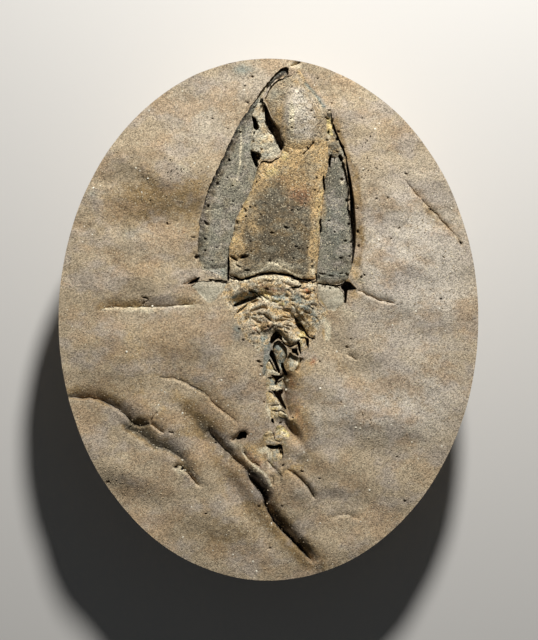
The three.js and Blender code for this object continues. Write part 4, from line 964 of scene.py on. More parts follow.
def pit_relief(spots):
    """The depth that pits take, and how deep in a pit each spot lies."""
    depth_taken = np.zeros(len(spots))
    hollow = np.zeros(len(spots))
    for x, y, long_half, short_half, turn, depth in PITS:
        reach = 1.6 * max(long_half, short_half) * MM_PER_PIXEL
        near = np.flatnonzero(np.abs(spots - traced((x, y))).max(axis=1) < reach)
        if not len(near):
            continue
        along, across = oval_offsets(spots[near], x, y, long_half, short_half, turn)
        ragged = 1 + 0.25 * smooth_noise(spots[near], size=0.2, seed=51)
        radius = np.hypot(along, across) * ragged
        cup = np.clip(1.25 - radius ** 2, 0, 1)
        depth_taken[near] = np.maximum(depth_taken[near], depth * cup)
        hollow[near] = np.maximum(hollow[near], cup)
    return depth_taken, hollow


def pit_spots():
    """Mesh points that ring each pit."""
    rings = []
    for x, y, long_half, short_half, turn, _depth in PITS:
        angle = math.radians(turn)
        long_way = np.array([math.cos(angle), math.sin(angle)])
        short_way = np.array([-math.sin(angle), math.cos(angle)])
        for share, count in ((0.0, 1), (0.35, 6), (0.7, 9), (1.0, 12), (1.25, 12)):
            for step in range(count):
                theta = math.tau * (step + share) / count
                offset = math.cos(theta) * long_half * long_way
                offset = offset + math.sin(theta) * short_half * short_way
                rings.append(traced((x, y)) + share * MM_PER_PIXEL * offset)
    return np.array(rings)


def ledge_spots(ledges):
    """Mesh points along ledges, closest together beside their lines."""
    rows = []
    for trace, *_rest in ledges:
        line = soften(ledge_line(trace), LINE_STEP, reach=0.13)
        across = left_of(line)
        for offset in (-0.5, -0.3, -0.18, -0.11, -0.05, 0, 0.05, 0.11, 0.18, 0.3, 0.5):
            rows.append(line + offset * across)
    return np.vstack(rows)


def even_spots(low, high, spacing, seed):
    """Mesh points in an even but irregular grid over a rectangle."""
    row_share = math.sqrt(3) / 2
    columns = np.arange(low[0], high[0], spacing)
    rows = np.arange(low[1], high[1], spacing * row_share)
    x, y = np.meshgrid(columns, rows)
    x[1::2] += spacing / 2
    grid = np.column_stack([x.ravel(), y.ravel()])
    jitter = np.random.default_rng(seed).uniform(-0.22, 0.22, grid.shape)
    return grid + jitter * spacing


def thin_out(spots, spacing, kept=()):
    """The spots that aren't in the same small cell as a kept one or each other."""
    cells = np.floor(spots / spacing).astype(int)
    taken = set(map(tuple, np.floor(kept / spacing).astype(int))) if len(kept) else set()
    _, first = np.unique(cells, axis=0, return_index=True)
    first.sort()
    chosen = [index for index in first if tuple(cells[index]) not in taken]
    return spots[chosen]


def triangulate(outline, spots):
    """Triangles over an outline and the spots inside it. Returns points and triangles."""
    count = len(outline)
    edges = [(index, (index + 1) % count) for index in range(count)]
    points = [Vector(point) for point in np.vstack([outline, spots]).tolist()]
    found, _edges, faces, *_rest = delaunay_2d_cdt(points, edges, [], 0, 1e-5, False)
    places = np.array([(point.x, point.y) for point in found])
    triangles = np.array(faces)
    corners = places[triangles]
    triangles = triangles[inside(corners.mean(axis=1), outline)]
    corners = places[triangles]
    first = corners[:, 1] - corners[:, 0]
    second = corners[:, 2] - corners[:, 0]
    area = first[:, 0] * second[:, 1] - first[:, 1] * second[:, 0]
    triangles[area < 0] = triangles[area < 0][:, ::-1]
    return places, triangles[np.abs(area) > 1e-9]


def border_of(triangles):
    """The directed edges that bound a sheet of triangles."""
    pairs = np.vstack([triangles[:, [0, 1]], triangles[:, [1, 2]], triangles[:, [2, 0]]])
    known = set(map(tuple, pairs))
    return [pair for pair in map(tuple, pairs) if (pair[1], pair[0]) not in known]


def close_below(points, triangles, rings):
    """Adds walls under a sheet's border, through the rings, and a flat cap at the last.

    Each ring is a function that turns the border's points into its own."""
    border = border_of(triangles)
    following = dict(border)
    start = border[0][0]
    loop = [start]
    while following[loop[-1]] != start:
        loop.append(following[loop[-1]])
    faces = triangles.tolist()
    vertices = [points]
    upper = list(loop)
    total = len(points)
    for ring in rings:
        vertices.append(ring(points[loop]))
        lower = list(range(total, total + len(loop)))
        total += len(loop)
        for index in range(len(loop)):
            after = (index + 1) % len(loop)
            faces.append((upper[after], upper[index], lower[index], lower[after]))
        upper = lower
    faces.append(tuple(reversed(upper)))
    return np.vstack(vertices), faces


def make_mesh(name, vertices, faces, masks, sharp_angle):
    """A finished stone mesh as an object, with its colour masks on its points."""
    mesh = bpy.data.meshes.new(name)
    mesh.from_pydata((vertices * MM).tolist(), [], faces)
    for mask, values in masks.items():
        padded = np.zeros(len(vertices), np.float32)
        padded[:len(values)] = values
        if len(values) < len(vertices):
            padded[len(values):] = WALL_DARKNESS if mask == "dark" else values.mean()
        attribute = mesh.attributes.new(mask, "FLOAT", "POINT")
        attribute.data.foreach_set("value", padded)
    cleaner = bmesh.new()
    cleaner.from_mesh(mesh)
    bmesh.ops.triangulate(cleaner, faces=[face for face in cleaner.faces if len(face.verts) > 4])
    cleaner.to_mesh(mesh)
    cleaner.free()
    mesh.validate()
    mesh.shade_smooth()
    mesh.set_sharp_from_angle(angle=math.radians(sharp_angle))
    piece = bpy.data.objects.new(name, mesh)
    bpy.context.scene.collection.objects.link(piece)
    return piece


def crack_width(spots):
    """How wide the crack at each spot stands open, in millimetres."""
    width = np.zeros(len(spots))
    for trace, full_width in OPEN_CRACKS:
        line = traced(trace)
        distance, _side, along = measure_line(spots, line)
        near = np.clip(2.2 - distance / (2 * MM_PER_PIXEL), 0, 1)
        fade = np.clip(np.minimum(along, 1 - along) / 0.08, 0.25, 1)
        width = np.maximum(width, full_width * MM_PER_PIXEL * near * fade)
    return width


def crack_band(trace, full_width):
    """The outline of an open crack, with both of its ends drawn to a point."""
    line = soften(traced(trace), LINE_STEP, reach=0.3)
    line = line + 0.1 * wobble(line, 0.7, (71, 72))
    across = left_of(line)
    share = np.linspace(0, 1, len(line))
    taper = np.clip(np.minimum(share, 1 - share) / 0.08, 0.1, 1)[:, None]
    half = 0.5 * full_width * MM_PER_PIXEL * taper
    return counter_clockwise(np.vstack([line + half * across, (line - half * across)[::-1]]))


def plate_outline(trace, growth):
    """A plate's real outline: softened, ragged, and drawn back where its crack is open."""
    overlap = 0.05
    outline = counter_clockwise(soften(traced(trace), LINE_STEP, reach=0.35, closed=True))
    for depth, size, seed in ((0.07, 0.45, 7), (0.05, 0.2, 8)):
        lumps = smooth_noise(outline, size, seed)[:, None]
        outline = outline + depth * lumps * outward_normals(outline)
    inset = np.clip(crack_width(outline) / 2, 0, 0.1) - overlap
    return outline - growth * inset[:, None] * outward_normals(outline)


def gap_outlines():
    """The outlines of all the open gaps and cracks."""
    gaps = [counter_clockwise(soften(traced(gap), LINE_STEP, reach=0.15, closed=True))
            for gap in OPEN_GAPS]
    return gaps + [crack_band(trace, full_width) for trace, full_width in OPEN_CRACKS]


def wall_spots(outlines):
    """Mesh points close outside and inside the outlines, which make steep walls there."""
    offset = 0.035
    return tuple(np.vstack([line + side * outward_normals(line) for line in outlines])
                 for side in (offset, -offset))


def unit_circle(count):
    """Points evenly round a circle with a radius of 1."""
    angles = np.linspace(0, math.tau, count, endpoint=False)
    return np.column_stack([np.cos(angles), np.sin(angles)])


def within(spots, outlines):
    """Which spots lie inside any of the outlines."""
    covered = np.zeros(len(spots), bool)
    for line in outlines:
        covered |= inside(spots, line)
    return covered


def stripe(spots, trace, left, right):
    """A weight of 1 along a traced line, fading over its reaches left and right."""
    line = soften(traced(trace), 0.3, reach=0.5)
    weight = np.zeros(len(spots))
    near = near_line(spots, line, 2.5 * max(left, right) * MM_PER_PIXEL)
    distance, side, _along = measure_line(spots[near], line)
    width = np.where(side > 0, left, right) * MM_PER_PIXEL
    weight[near] = np.exp(-(distance / width) ** 2)
    return weight


def paint(spots, dabs, hollow):
    """The colour masks at each spot: the dabs, and painted shade from the depth of cracks and pits."""
    masks = {name: np.zeros(len(spots)) for name in MASKS}
    patch_spread = 1.2
    for name, entries in dabs.items():
        for *shape, strength in entries:
            if len(shape) == 3:
                weight = stripe(spots, *shape)
            else:
                x, y, along, across, turn = shape
                weight = bell(spots, x, y, along * patch_spread, across * patch_spread, turn)
            masks[name] = np.maximum(masks[name], strength * weight)
    masks["hollow"] = np.maximum(masks["hollow"], hollow)
    return masks


def rock_surface(spots):
    """Height of the rock face above its mean level, and how hollow each spot is."""
    height = swell_height(spots, ROCK_SWELLS)
    ledges, crack_hollow = ledge_relief(spots, ROCK_LEDGES)
    pits, pit_hollow = pit_relief(spots)
    height -= ledges + pits
    height += 0.2 * fractal_noise(spots, size=6.0, octaves=2, seed=3)
    rise_over = 10
    lumpiness = 1 + 0.8 * np.clip(spots[:, 1] / rise_over, 0, 1)
    height += 0.13 * lumpiness * smooth_noise(spots, size=3.4, seed=13)
    height += 0.07 * lumpiness * fractal_noise(spots, size=1.8, octaves=4, seed=11)
    return height, np.maximum(crack_hollow, pit_hollow)


def pixel_step(angle):
    """A step of one pixel on the photograph, whose rows are counted downwards."""
    return np.array([math.cos(angle), -math.sin(angle)])


def root_wrinkles():
    """Small folds that crumple the stem's root, in arcs round the top of the stem."""
    random = np.random.default_rng(88)
    wrinkles = []
    for _wrinkle in range(ROOT_WRINKLES):
        turn = random.uniform(0.05, 1.0) * math.pi
        middle = np.array(ROOT_ARC_CENTRE) + random.uniform(12, 60) * pixel_step(turn)
        along = turn + math.pi / 2 + random.uniform(-0.5, 0.5)
        half = random.uniform(2.5, 5.5) * pixel_step(along)
        bow = random.uniform(-1.2, 1.2) * pixel_step(turn)
        trace = [middle - half, middle + bow, middle + half]
        wrinkles.append((trace, random.uniform(0.1, 0.24), random.uniform(2, 3.5),
                         random.uniform(2, 3), random.uniform(0.0, 0.2)))
    return wrinkles


def add_to_body(piece, nodes, material):
    """Gives a finished piece its material and body, and hides the nodes it stands for."""
    piece.data.materials.clear()
    piece.data.materials.append(material)
    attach(piece, "root")
    if nodes:
        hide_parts(*nodes)
    return piece


def merge_share(node, spots, distance):
    """How far a plate's edge runs on into the rock at each spot, from 0 to 1."""
    merge_reach = 1.1
    share = np.zeros(len(spots))
    for oval in MERGES.get(node, ()):
        share = np.maximum(share, np.clip(1.8 * bell(spots, *oval), 0, 1))
    near = np.clip(1.25 - distance / merge_reach, 0, 1)
    return share * near * near * (3 - 2 * near)


def plate_spots(outline, folds, gaps):
    """Mesh points of a plate: close together along folds, pits and gaps, even elsewhere."""
    spacing = 0.13
    fine = np.vstack([ledge_spots(folds), pit_spots()]) if folds else pit_spots()
    fine = thin_out(fine, 0.06)
    if gaps:
        walls = thin_out(np.vstack(wall_spots(gaps)), WALL_CELL)
        fine = np.vstack([walls, thin_out(fine, FINE_CELL, walls)])
    coarse = even_spots(outline.min(axis=0), outline.max(axis=0), spacing, seed=5)
    spots = np.vstack([fine, thin_out(coarse, 0.09, fine)])
    spots = spots[inside(spots, outline)]
    edge_distance, _side, _along = measure_line(spots, outline[::3], closed=True)
    return spots[edge_distance > 0.5 * spacing]


def edge_dip(places, distance):
    """How far a plate's worn edge dips, more in some places than in others."""
    worn_width = 0.3
    depth = 0.03 + 0.1 * np.clip(smooth_noise(places, size=0.9, seed=61), 0, 1)
    return depth * np.clip(1 - distance / worn_width, 0, 1) ** 2


def build_plate(node, trace, slot, dabs, material, rim, crown, roughness, swells=(), folds=(),
                tilt=0.0):
    """One plate of the fossil, from its outline and relief to its finished object.

    The rim is the height of its edge over the face of the rock, the crown how much higher
    its middle is, and the tilt how much higher its lower end is than its upper one."""
    rounded_edge = 1.2
    outline = plate_outline(trace, 1)
    gaps = [gap for gap in gap_outlines() if inside(gap, outline).any()]
    places, triangles = triangulate(outline, plate_spots(outline, folds, gaps))
    distance, _side, _along = measure_line(places, outline[::2], closed=True)
    merged = merge_share(node, places, distance)
    inwards = np.clip(distance / rounded_edge, 0, 1)
    height = rim + crown * inwards * (2 - inwards) - edge_dip(places, distance)
    span = np.ptp(places[:, 1])
    height += tilt * (0.5 - (places[:, 1] - places[:, 1].min()) / span)
    height += swell_height(places, swells)
    crack_depth, crack_hollow = ledge_relief(places, folds)
    pits, pit_hollow = pit_relief(places)
    height -= crack_depth + pits
    height += roughness * fractal_noise(places, size=1.1, octaves=4, seed=23)
    height += (rock_surface(places)[0] + CLEARANCE - height) * merged
    gap = within(places, gaps)
    height = np.where(gap, GAP_FLOOR - FACE_LEVEL, height)
    top = np.minimum(FACE_LEVEL + height, CAD_TOP - CLEARANCE)
    points = np.column_stack([places, top])
    bulk = [
        lambda rim_points: np.column_stack([
            rim_points[:, :2], np.maximum(rim_points[:, 2] - 0.3, PLATE_FLOOR + 0.1)]),
        lambda rim_points: rim_points * (1, 1, 0) + (0, 0, PLATE_FLOOR),
    ]
    vertices, faces = close_below(points, triangles, bulk)
    # Open gaps and the depth of cracks and pits are painted as shade in the hollow mask.
    hollow = np.where(gap, 1.0, np.maximum(crack_hollow, pit_hollow))
    masks = paint(places, dabs, hollow)
    rock_masks = paint(places, ROCK_DABS, hollow)
    recoloured = np.clip(2 * merged - 1, 0, 1) * (0.3 if slot == "stem_stone" else 1)
    masks = {mask: masks[mask] + (rock_masks[mask] - masks[mask]) * recoloured
             for mask in MASKS}
    masks["rock"] = recoloured
    piece = make_mesh(f"{node}_stone", vertices, faces, masks, sharp_angle=62)
    return add_to_body(piece, [node], material)


def wall_ring(rim_points, share):
    """The slab's broken wall at a share of its height, set in from the rim above it."""
    mean_radius = 30
    foot_bevel = 0.25
    angle = np.arctan2(rim_points[:, 1], rim_points[:, 0])
    around = np.column_stack([angle * mean_radius, np.full(len(angle), share * FACE_LEVEL)])
    lobes = np.sin(3 * angle + 1) + np.sin(7 * angle + 9 * share) / 2
    inset = (1.1 + 0.35 * lobes) * math.sqrt(1 - share)
    rough = 0.35 * fractal_noise(around, size=2.4, octaves=4, seed=41)
    bedding = 0.12 * smooth_noise(around * (0.06, 1), size=0.7, seed=45)
    inset = np.maximum(inset + (rough + bedding + 0.2) * min(1, 4 * (1 - share)), CLEARANCE)
    if share == 0:
        inset = inset + foot_bevel
    shrunk = rim_points[:, :2] * (1 - inset / np.hypot(*rim_points[:, :2].T))[:, None]
    return np.column_stack([shrunk, rim_points[:, 2] * share])


def build_matrix(material):
    """The slab of sandstone: its relief, the beds of the plates, its wall and underside."""
    wall_levels = 34
    rim_points = 620
    oval = unit_circle(rim_points) * SLAB_HALF
    beds = [plate_outline(trace, -1) for trace in ALL_PLATES] + gap_outlines()
    brink, foot = wall_spots(beds)
    walls = thin_out(np.vstack([brink[~within(brink, beds)], foot]), WALL_CELL)
    fine = np.vstack([ledge_spots(ROCK_LEDGES), pit_spots()])
    fine = np.vstack([walls, thin_out(fine[~within(fine, beds)], FINE_CELL, walls)])
    coarse = thin_out(even_spots(-SLAB_HALF, SLAB_HALF, spacing=0.27, seed=5), 0.16, fine)
    sparse = np.random.default_rng(9).random(len(coarse)) < 0.3
    coarse = coarse[~within(coarse, beds) | sparse]
    spots = np.vstack([fine, coarse])
    spots = spots[np.hypot(*(spots / (SLAB_HALF - 0.12)).T) < 1]
    places, triangles = triangulate(oval, spots)
    covered = within(places, beds)
    height, hollow = rock_surface(places)
    height = np.where(covered, POCKET_FLOOR - FACE_LEVEL, height)
    top = np.minimum(FACE_LEVEL + height, SLAB_HIGH.z / MM - CLEARANCE)
    points = np.column_stack([places, top])
    rings = [partial(wall_ring, share=1 - level / wall_levels)
             for level in range(1, wall_levels + 1)]
    vertices, faces = close_below(points, triangles, rings)
    # The pockets under the plates and the rock's cracks and pits are painted as shade in the hollow
    # mask.
    masks = paint(places, ROCK_DABS, np.where(covered, 1.0, hollow))
    piece = make_mesh("matrix_stone", vertices, faces, masks, sharp_angle=55)
    return add_to_body(piece, ["matrix"], material)


def add_node(tree, kind, links=None, **settings):
    """Adds a node, sets its properties, and fills or links its inputs."""
    node = tree.nodes.new(kind)
    for name, value in settings.items():
        setattr(node, name, value)
    for key, value in (links or {}).items():
        socket = node.inputs[key]
        if isinstance(value, bpy.types.NodeSocket):
            tree.links.new(value, socket)
        else:
            socket.default_value = value
    return node


def new_group(name, inputs, outputs):
    """An empty shader node group with named sockets. Returns it with its two ends."""
    group = bpy.data.node_groups.new(name, "ShaderNodeTree")
    for label, kind, default in inputs:
        socket = group.interface.new_socket(label, in_out="INPUT", socket_type=kind)
        socket.default_value = default
    for label, kind in outputs:
        group.interface.new_socket(label, in_out="OUTPUT", socket_type=kind)
    return group, group.nodes.new("NodeGroupInput"), group.nodes.new("NodeGroupOutput")


def scaled_place(tree, size, stretch=(1, 1, 1)):
    """The object's own coordinates, counted in steps of one size."""
    coordinates = add_node(tree, "ShaderNodeTexCoord").outputs["Object"]
    per_size = add_node(tree, "ShaderNodeMath", {0: 1.0, 1: size}, operation="DIVIDE").outputs[0]
    stretched = add_node(tree, "ShaderNodeVectorMath", {0: coordinates, 1: stretch},
                         operation="MULTIPLY").outputs[0]
    return add_node(tree, "ShaderNodeVectorMath", {0: stretched, "Scale": per_size},
                    operation="SCALE").outputs[0]


def multiply_tone(tree, colour, tone):
    """A colour made lighter or darker by a tone around 1."""
    return add_node(tree, "ShaderNodeVectorMath", {0: colour, "Scale": tone},
                    operation="SCALE").outputs[0]


def spread(tree, value, low, high):
    """A value from 0 to 1, spread between two limits."""
    return add_node(tree, "ShaderNodeMapRange", {"Value": value, "To Min": low, "To Max": high},
                    clamp=False).outputs[0]


def make_grain_group():
    """Sand grains: each has its own tone, over softer blotches of two more colours."""
    group, start, end = new_group("Stone grain", [
        ("Color", "NodeSocketColor", (0.5, 0.5, 0.5, 1)),
        ("Cool Color", "NodeSocketColor", (0.5, 0.5, 0.5, 1)),
        ("Warm Color", "NodeSocketColor", (0.5, 0.4, 0.3, 1)),
        ("Crystal Color", "NodeSocketColor", (0.8, 0.75, 0.6, 1)),
        ("Blotch Amount", "NodeSocketFloat", 0.5),
        ("Blotch Size", "NodeSocketFloat", 0.003),
        ("Grain Size", "NodeSocketFloat", 0.0002),
        ("Grain Contrast", "NodeSocketFloat", 0.25),
        ("Crystal Share", "NodeSocketFloat", 0.04),
    ], [("Color", "NodeSocketColor"), ("Relief", "NodeSocketFloat")])
    sockets = start.outputs
    blotch_place = scaled_place(group, sockets["Blotch Size"], (0.75, 1, 1))
    blotch = add_node(group, "ShaderNodeTexNoise",
                      {"Vector": blotch_place, "Scale": 1.0, "Detail": 4.0, "Roughness": 0.6})
    channels = add_node(group, "ShaderNodeSeparateColor", {0: blotch.outputs["Color"]})
    colour = sockets["Color"]
    for channel, label in ((0, "Cool Color"), (1, "Warm Color")):
        patch = add_node(group, "ShaderNodeMapRange",
                         {"Value": channels.outputs[channel], "From Min": 0.46,
                          "From Max": 0.64}, interpolation_type="SMOOTHSTEP").outputs[0]
        amount = add_node(group, "ShaderNodeMath", {0: patch, 1: sockets["Blotch Amount"]},
                          operation="MULTIPLY").outputs[0]
        mixed = add_node(group, "ShaderNodeMix",
                         {"Factor": amount, "A": colour, "B": sockets[label]},
                         data_type="RGBA")
        colour = mixed.outputs["Result"]
    grain_place = scaled_place(group, sockets["Grain Size"])
    grains = add_node(group, "ShaderNodeTexVoronoi", {"Vector": grain_place, "Scale": 1.0})
    random = add_node(group, "ShaderNodeSeparateColor", {0: grains.outputs["Color"]}).outputs
    less = add_node(group, "ShaderNodeMath", {0: 1.0, 1: sockets["Grain Contrast"]},
                    operation="SUBTRACT").outputs[0]
    more = add_node(group, "ShaderNodeMath", {0: 1.0, 1: sockets["Grain Contrast"]},
                    operation="ADD").outputs[0]
    colour = multiply_tone(group, colour, spread(group, random[0], less, more))
    crystal = add_node(group, "ShaderNodeMath", {0: random[1], 1: sockets["Crystal Share"]},
                       operation="LESS_THAN").outputs[0]
    faint = add_node(group, "ShaderNodeMath", {0: crystal, 1: random[2]},
                     operation="MULTIPLY").outputs[0]
    colour = add_node(group, "ShaderNodeMix",
                      {"Factor": faint, "A": colour, "B": sockets["Crystal Color"]},
                      data_type="RGBA").outputs["Result"]
    cluster = add_node(group, "ShaderNodeTexNoise",
                       {"Vector": grain_place, "Scale": 0.45, "Detail": 3.0, "Roughness": 0.8})
    colour = multiply_tone(group, colour, spread(group, cluster.outputs[0], 0.84, 1.16))
    warmth = add_node(group, "ShaderNodeTexNoise",
                      {"Vector": grain_place, "Scale": 0.7, "Detail": 2.0, "Roughness": 0.7})
    warm = spread(group, warmth.outputs[0], 0.97, 1.03)
    cool = spread(group, warmth.outputs[0], 1.035, 0.965)
    tint = add_node(group, "ShaderNodeCombineXYZ", {0: warm, 1: 1.0, 2: cool}).outputs[0]
    colour = add_node(group, "ShaderNodeVectorMath", {0: colour, 1: tint},
                      operation="MULTIPLY").outputs[0]
    dome = add_node(group, "ShaderNodeMath", {0: grains.outputs["Distance"], 1: -0.7, 2: 0.7},
                    operation="MULTIPLY_ADD").outputs[0]
    lump = add_node(group, "ShaderNodeMath", {0: cluster.outputs[0], 1: 0.7, 2: dome},
                    operation="MULTIPLY_ADD").outputs[0]
    group.links.new(colour, end.inputs["Color"])
    group.links.new(lump, end.inputs["Relief"])
    return group


def make_stain_and_shade_group():
    """A second colour where the mask says, with a ragged edge; the masks lay stains, painted shade and
    painted light.
    """
    group, start, end = new_group("Stain and shade", [
        ("Color", "NodeSocketColor", (0.5, 0.5, 0.5, 1)),
        ("Stain Color", "NodeSocketColor", (0.5, 0.5, 0.5, 1)),
        ("Mask", "NodeSocketFloat", 0.0),
        ("Ragged Size", "NodeSocketFloat", 0.0011),
        ("Raggedness", "NodeSocketFloat", 1.0),
    ], [("Color", "NodeSocketColor")])
    sockets = start.outputs
    place = scaled_place(group, sockets["Ragged Size"])
    noise = add_node(group, "ShaderNodeTexNoise",
                     {"Vector": place, "Scale": 1.0, "Detail": 4.0, "Roughness": 0.6})
    centred = add_node(group, "ShaderNodeMath", {0: noise.outputs[0], 1: 0.5},
                       operation="SUBTRACT").outputs[0]
    edge = add_node(group, "ShaderNodeMath",
                    {0: centred, 1: sockets["Raggedness"], 2: sockets["Mask"]},
                    operation="MULTIPLY_ADD").outputs[0]
    share = add_node(group, "ShaderNodeMapRange",
                     {"Value": edge, "From Min": 0.2, "From Max": 0.95},
                     interpolation_type="SMOOTHSTEP").outputs[0]
    mixed = add_node(group, "ShaderNodeMix", {"Factor": share, "A": sockets["Color"],
                                              "B": sockets["Stain Color"]}, data_type="RGBA")
    group.links.new(mixed.outputs["Result"], end.inputs["Color"])
    return group


def make_stone(name, base, cool, warm, blotch_amount, blotch_size, grain_size, contrast,
               crystals, bump):
    """A stone material: the base colour, the painted stains with painted shade and light, the painted
    shade of hollows and the grain.
    """
    colours = bpy.context.scene.fossil_colours
    # Colours that the masks lay: real stains, painted shade in dark crust, brown and crevice shade, and
    # painted light in pale and cream.
    stains = {
        "rock": colours.rock, "pale": colours.pale, "brown": colours.brown,
        "dark": colours.dark_crust_and_shade, "ochre": colours.ochre, "blue": colours.blue_grey,
        "rust": colours.rust, "yellow": colours.yellow, "cream": colours.cream,
        "hollow": colours.crevice_shade,
    }
    material = bpy.data.materials.new(name)
    material.use_nodes = True
    tree = material.node_tree
    shader = tree.nodes["Principled BSDF"]
    colour = (*base, 1)
    for mask, stain in stains.items():
        attribute = add_node(tree, "ShaderNodeAttribute", attribute_name=mask)
        group = add_node(tree, "ShaderNodeGroup", node_tree=bpy.data.node_groups["Stain and shade"])
        if isinstance(colour, tuple):
            group.inputs["Color"].default_value = colour
        else:
            tree.links.new(colour, group.inputs["Color"])
        group.inputs["Stain Color"].default_value = (*stain, 1)
        if mask in SMOOTH_MASKS:
            group.inputs["Raggedness"].default_value = SOFT_RAGGEDNESS
        tree.links.new(attribute.outputs["Fac"], group.inputs["Mask"])
        colour = group.outputs["Color"]
    grain = add_node(tree, "ShaderNodeGroup", node_tree=bpy.data.node_groups["Stone grain"])
    tree.links.new(colour, grain.inputs["Color"])
    grain.inputs["Cool Color"].default_value = (*cool, 1)
    grain.inputs["Warm Color"].default_value = (*warm, 1)
    grain.inputs["Crystal Color"].default_value = (*colours.cream, 1)
    grain.inputs["Crystal Share"].default_value = crystals
    grain.inputs["Blotch Amount"].default_value = blotch_amount
    grain.inputs["Blotch Size"].default_value = blotch_size * MM
    grain.inputs["Grain Size"].default_value = grain_size * MM
    grain.inputs["Grain Contrast"].default_value = contrast
    tree.links.new(grain.outputs["Color"], shader.inputs["Base Color"])
    relief = add_node(tree, "ShaderNodeBump",
                      {"Strength": 1.0, "Distance": bump * MM, "Height": grain.outputs["Relief"]})
    tree.links.new(relief.outputs["Normal"], shader.inputs["Normal"])
    shader.inputs["Roughness"].default_value = 0.82
    shader.inputs["Specular IOR Level"].default_value = 0.3
    return material


def stone(name):
    """The finished stone material of one kind, made on first use."""
    if name in bpy.data.materials:
        return bpy.data.materials[name]
    if "Stain and shade" not in bpy.data.node_groups:
        make_grain_group()
        make_stain_and_shade_group()
    base, cool, warm, *numbers = STONE_KINDS[name]
    colours = bpy.context.scene.fossil_colours
    return make_stone(name, getattr(colours, base), getattr(colours, cool),
                      getattr(colours, warm), *numbers)


def scatter_tree():
    """Geometry nodes that scatter small chips over a face, realized, with a material."""
    tree = bpy.data.node_groups.new("Scattered chips", "GeometryNodeTree")
    for label, kind in (("Geometry", "NodeSocketGeometry"), ("Density", "NodeSocketFloat"),
                        ("Chip Size", "NodeSocketFloat"), ("Flatness", "NodeSocketFloat"),
                        ("Seed", "NodeSocketInt"), ("Material", "NodeSocketMaterial")):
        tree.interface.new_socket(label, in_out="INPUT", socket_type=kind)
    tree.interface.new_socket("Geometry", in_out="OUTPUT", socket_type="NodeSocketGeometry")
    start = tree.nodes.new("NodeGroupInput").outputs
    end = tree.nodes.new("NodeGroupOutput")
    cover = add_node(tree, "GeometryNodeInputNamedAttribute", {"Name": "cover"},
                     data_type="FLOAT")
    points = add_node(tree, "GeometryNodeDistributePointsOnFaces",
                      {"Mesh": start["Geometry"], "Density Max": start["Density"],
                       "Density Factor": cover.outputs["Attribute"], "Seed": start["Seed"],
                       "Distance Min": 0.0002}, distribute_method="POISSON")
    chip = add_node(tree, "GeometryNodeMeshIcoSphere", {"Radius": 1.0, "Subdivisions": 1})
    turn = add_node(tree, "FunctionNodeRandomValue",
                    {0: (0, 0, 0), 1: (0.5, 0.5, math.tau), "Seed": start["Seed"]},
                    data_type="FLOAT_VECTOR")
    grade = add_node(tree, "FunctionNodeRandomValue", {2: 0.55, 3: 1.25, "Seed": start["Seed"]},
                     data_type="FLOAT")
    size = add_node(tree, "ShaderNodeMath", {0: grade.outputs[1], 1: start["Chip Size"]},
                    operation="MULTIPLY")
    height = add_node(tree, "ShaderNodeMath", {0: size.outputs[0], 1: start["Flatness"]},
                      operation="MULTIPLY")
    scale = add_node(tree, "ShaderNodeCombineXYZ",
                     {0: size.outputs[0], 1: size.outputs[0], 2: height.outputs[0]})
    placed = add_node(tree, "GeometryNodeInstanceOnPoints",
                      {"Points": points.outputs["Points"], "Instance": chip.outputs["Mesh"],
                       "Rotation": turn.outputs[0], "Scale": scale.outputs[0]})
    solid = add_node(tree, "GeometryNodeRealizeInstances", {"Geometry": placed.outputs[0]})
    dressed = add_node(tree, "GeometryNodeSetMaterial",
                       {"Geometry": solid.outputs[0], "Material": start["Material"]})
    tree.links.new(dressed.outputs[0], end.inputs[0])
    return tree


def scatter(name, host, density, size, flatness, seed, material):
    """Runs the scatter tree over a host face and keeps the result as a plain mesh."""
    tree = bpy.data.node_groups.get("Scattered chips") or scatter_tree()
    modifier = host.modifiers.new("Chips", "NODES")
    modifier.node_group = tree
    values = {"Density": density, "Chip Size": size, "Flatness": flatness, "Seed": seed,
              "Material": material}
    for item in tree.interface.items_tree:
        if item.in_out == "INPUT" and item.name in values:
            modifier[item.identifier] = values[item.name]
    evaluated = host.evaluated_get(bpy.context.evaluated_depsgraph_get())
    mesh = bpy.data.meshes.new_from_object(evaluated)
    host.modifiers.remove(modifier)
    mesh.name = name
    piece = bpy.data.objects.new(name, mesh)
    bpy.context.scene.collection.objects.link(piece)
    return piece


def scatter_face():
    """A plain face over the rock, at the height of its relief, for scattering on."""
    rim_points = 160
    oval = unit_circle(rim_points) * (SLAB_HALF - 0.5)
    spots = even_spots(-SLAB_HALF, SLAB_HALF, spacing=0.5, seed=15)
    spots = spots[np.hypot(*(spots / (SLAB_HALF - 0.8)).T) < 1]
    places, triangles = triangulate(oval, spots)
    height, hollow = rock_surface(places)
    bare = hollow > 0.05
    for trace in ALL_PLATES + OPEN_GAPS:
        outline = counter_clockwise(traced(trace))
        bare |= inside(places, outline + 0.6 * outward_normals(outline))
    points = np.column_stack([places, FACE_LEVEL + height])
    mesh = bpy.data.meshes.new("scatter face")
    mesh.from_pydata((points * MM).tolist(), [], triangles.tolist())
    cover = mesh.attributes.new("cover", "FLOAT", "POINT")
    cover.data.foreach_set("value", np.where(bare, 0.0, 1.0).astype(np.float32))
    host = bpy.data.objects.new("scatter face", mesh)
    bpy.context.scene.collection.objects.link(host)
    return host


def colour_property(name, description, screen_colour):
    """A colour that a user can change, with a screen colour as its default."""
    return bpy.props.FloatVectorProperty(
        name=name, description=description, subtype="COLOR", size=3, min=0, max=1,
        default=linear(*screen_colour))


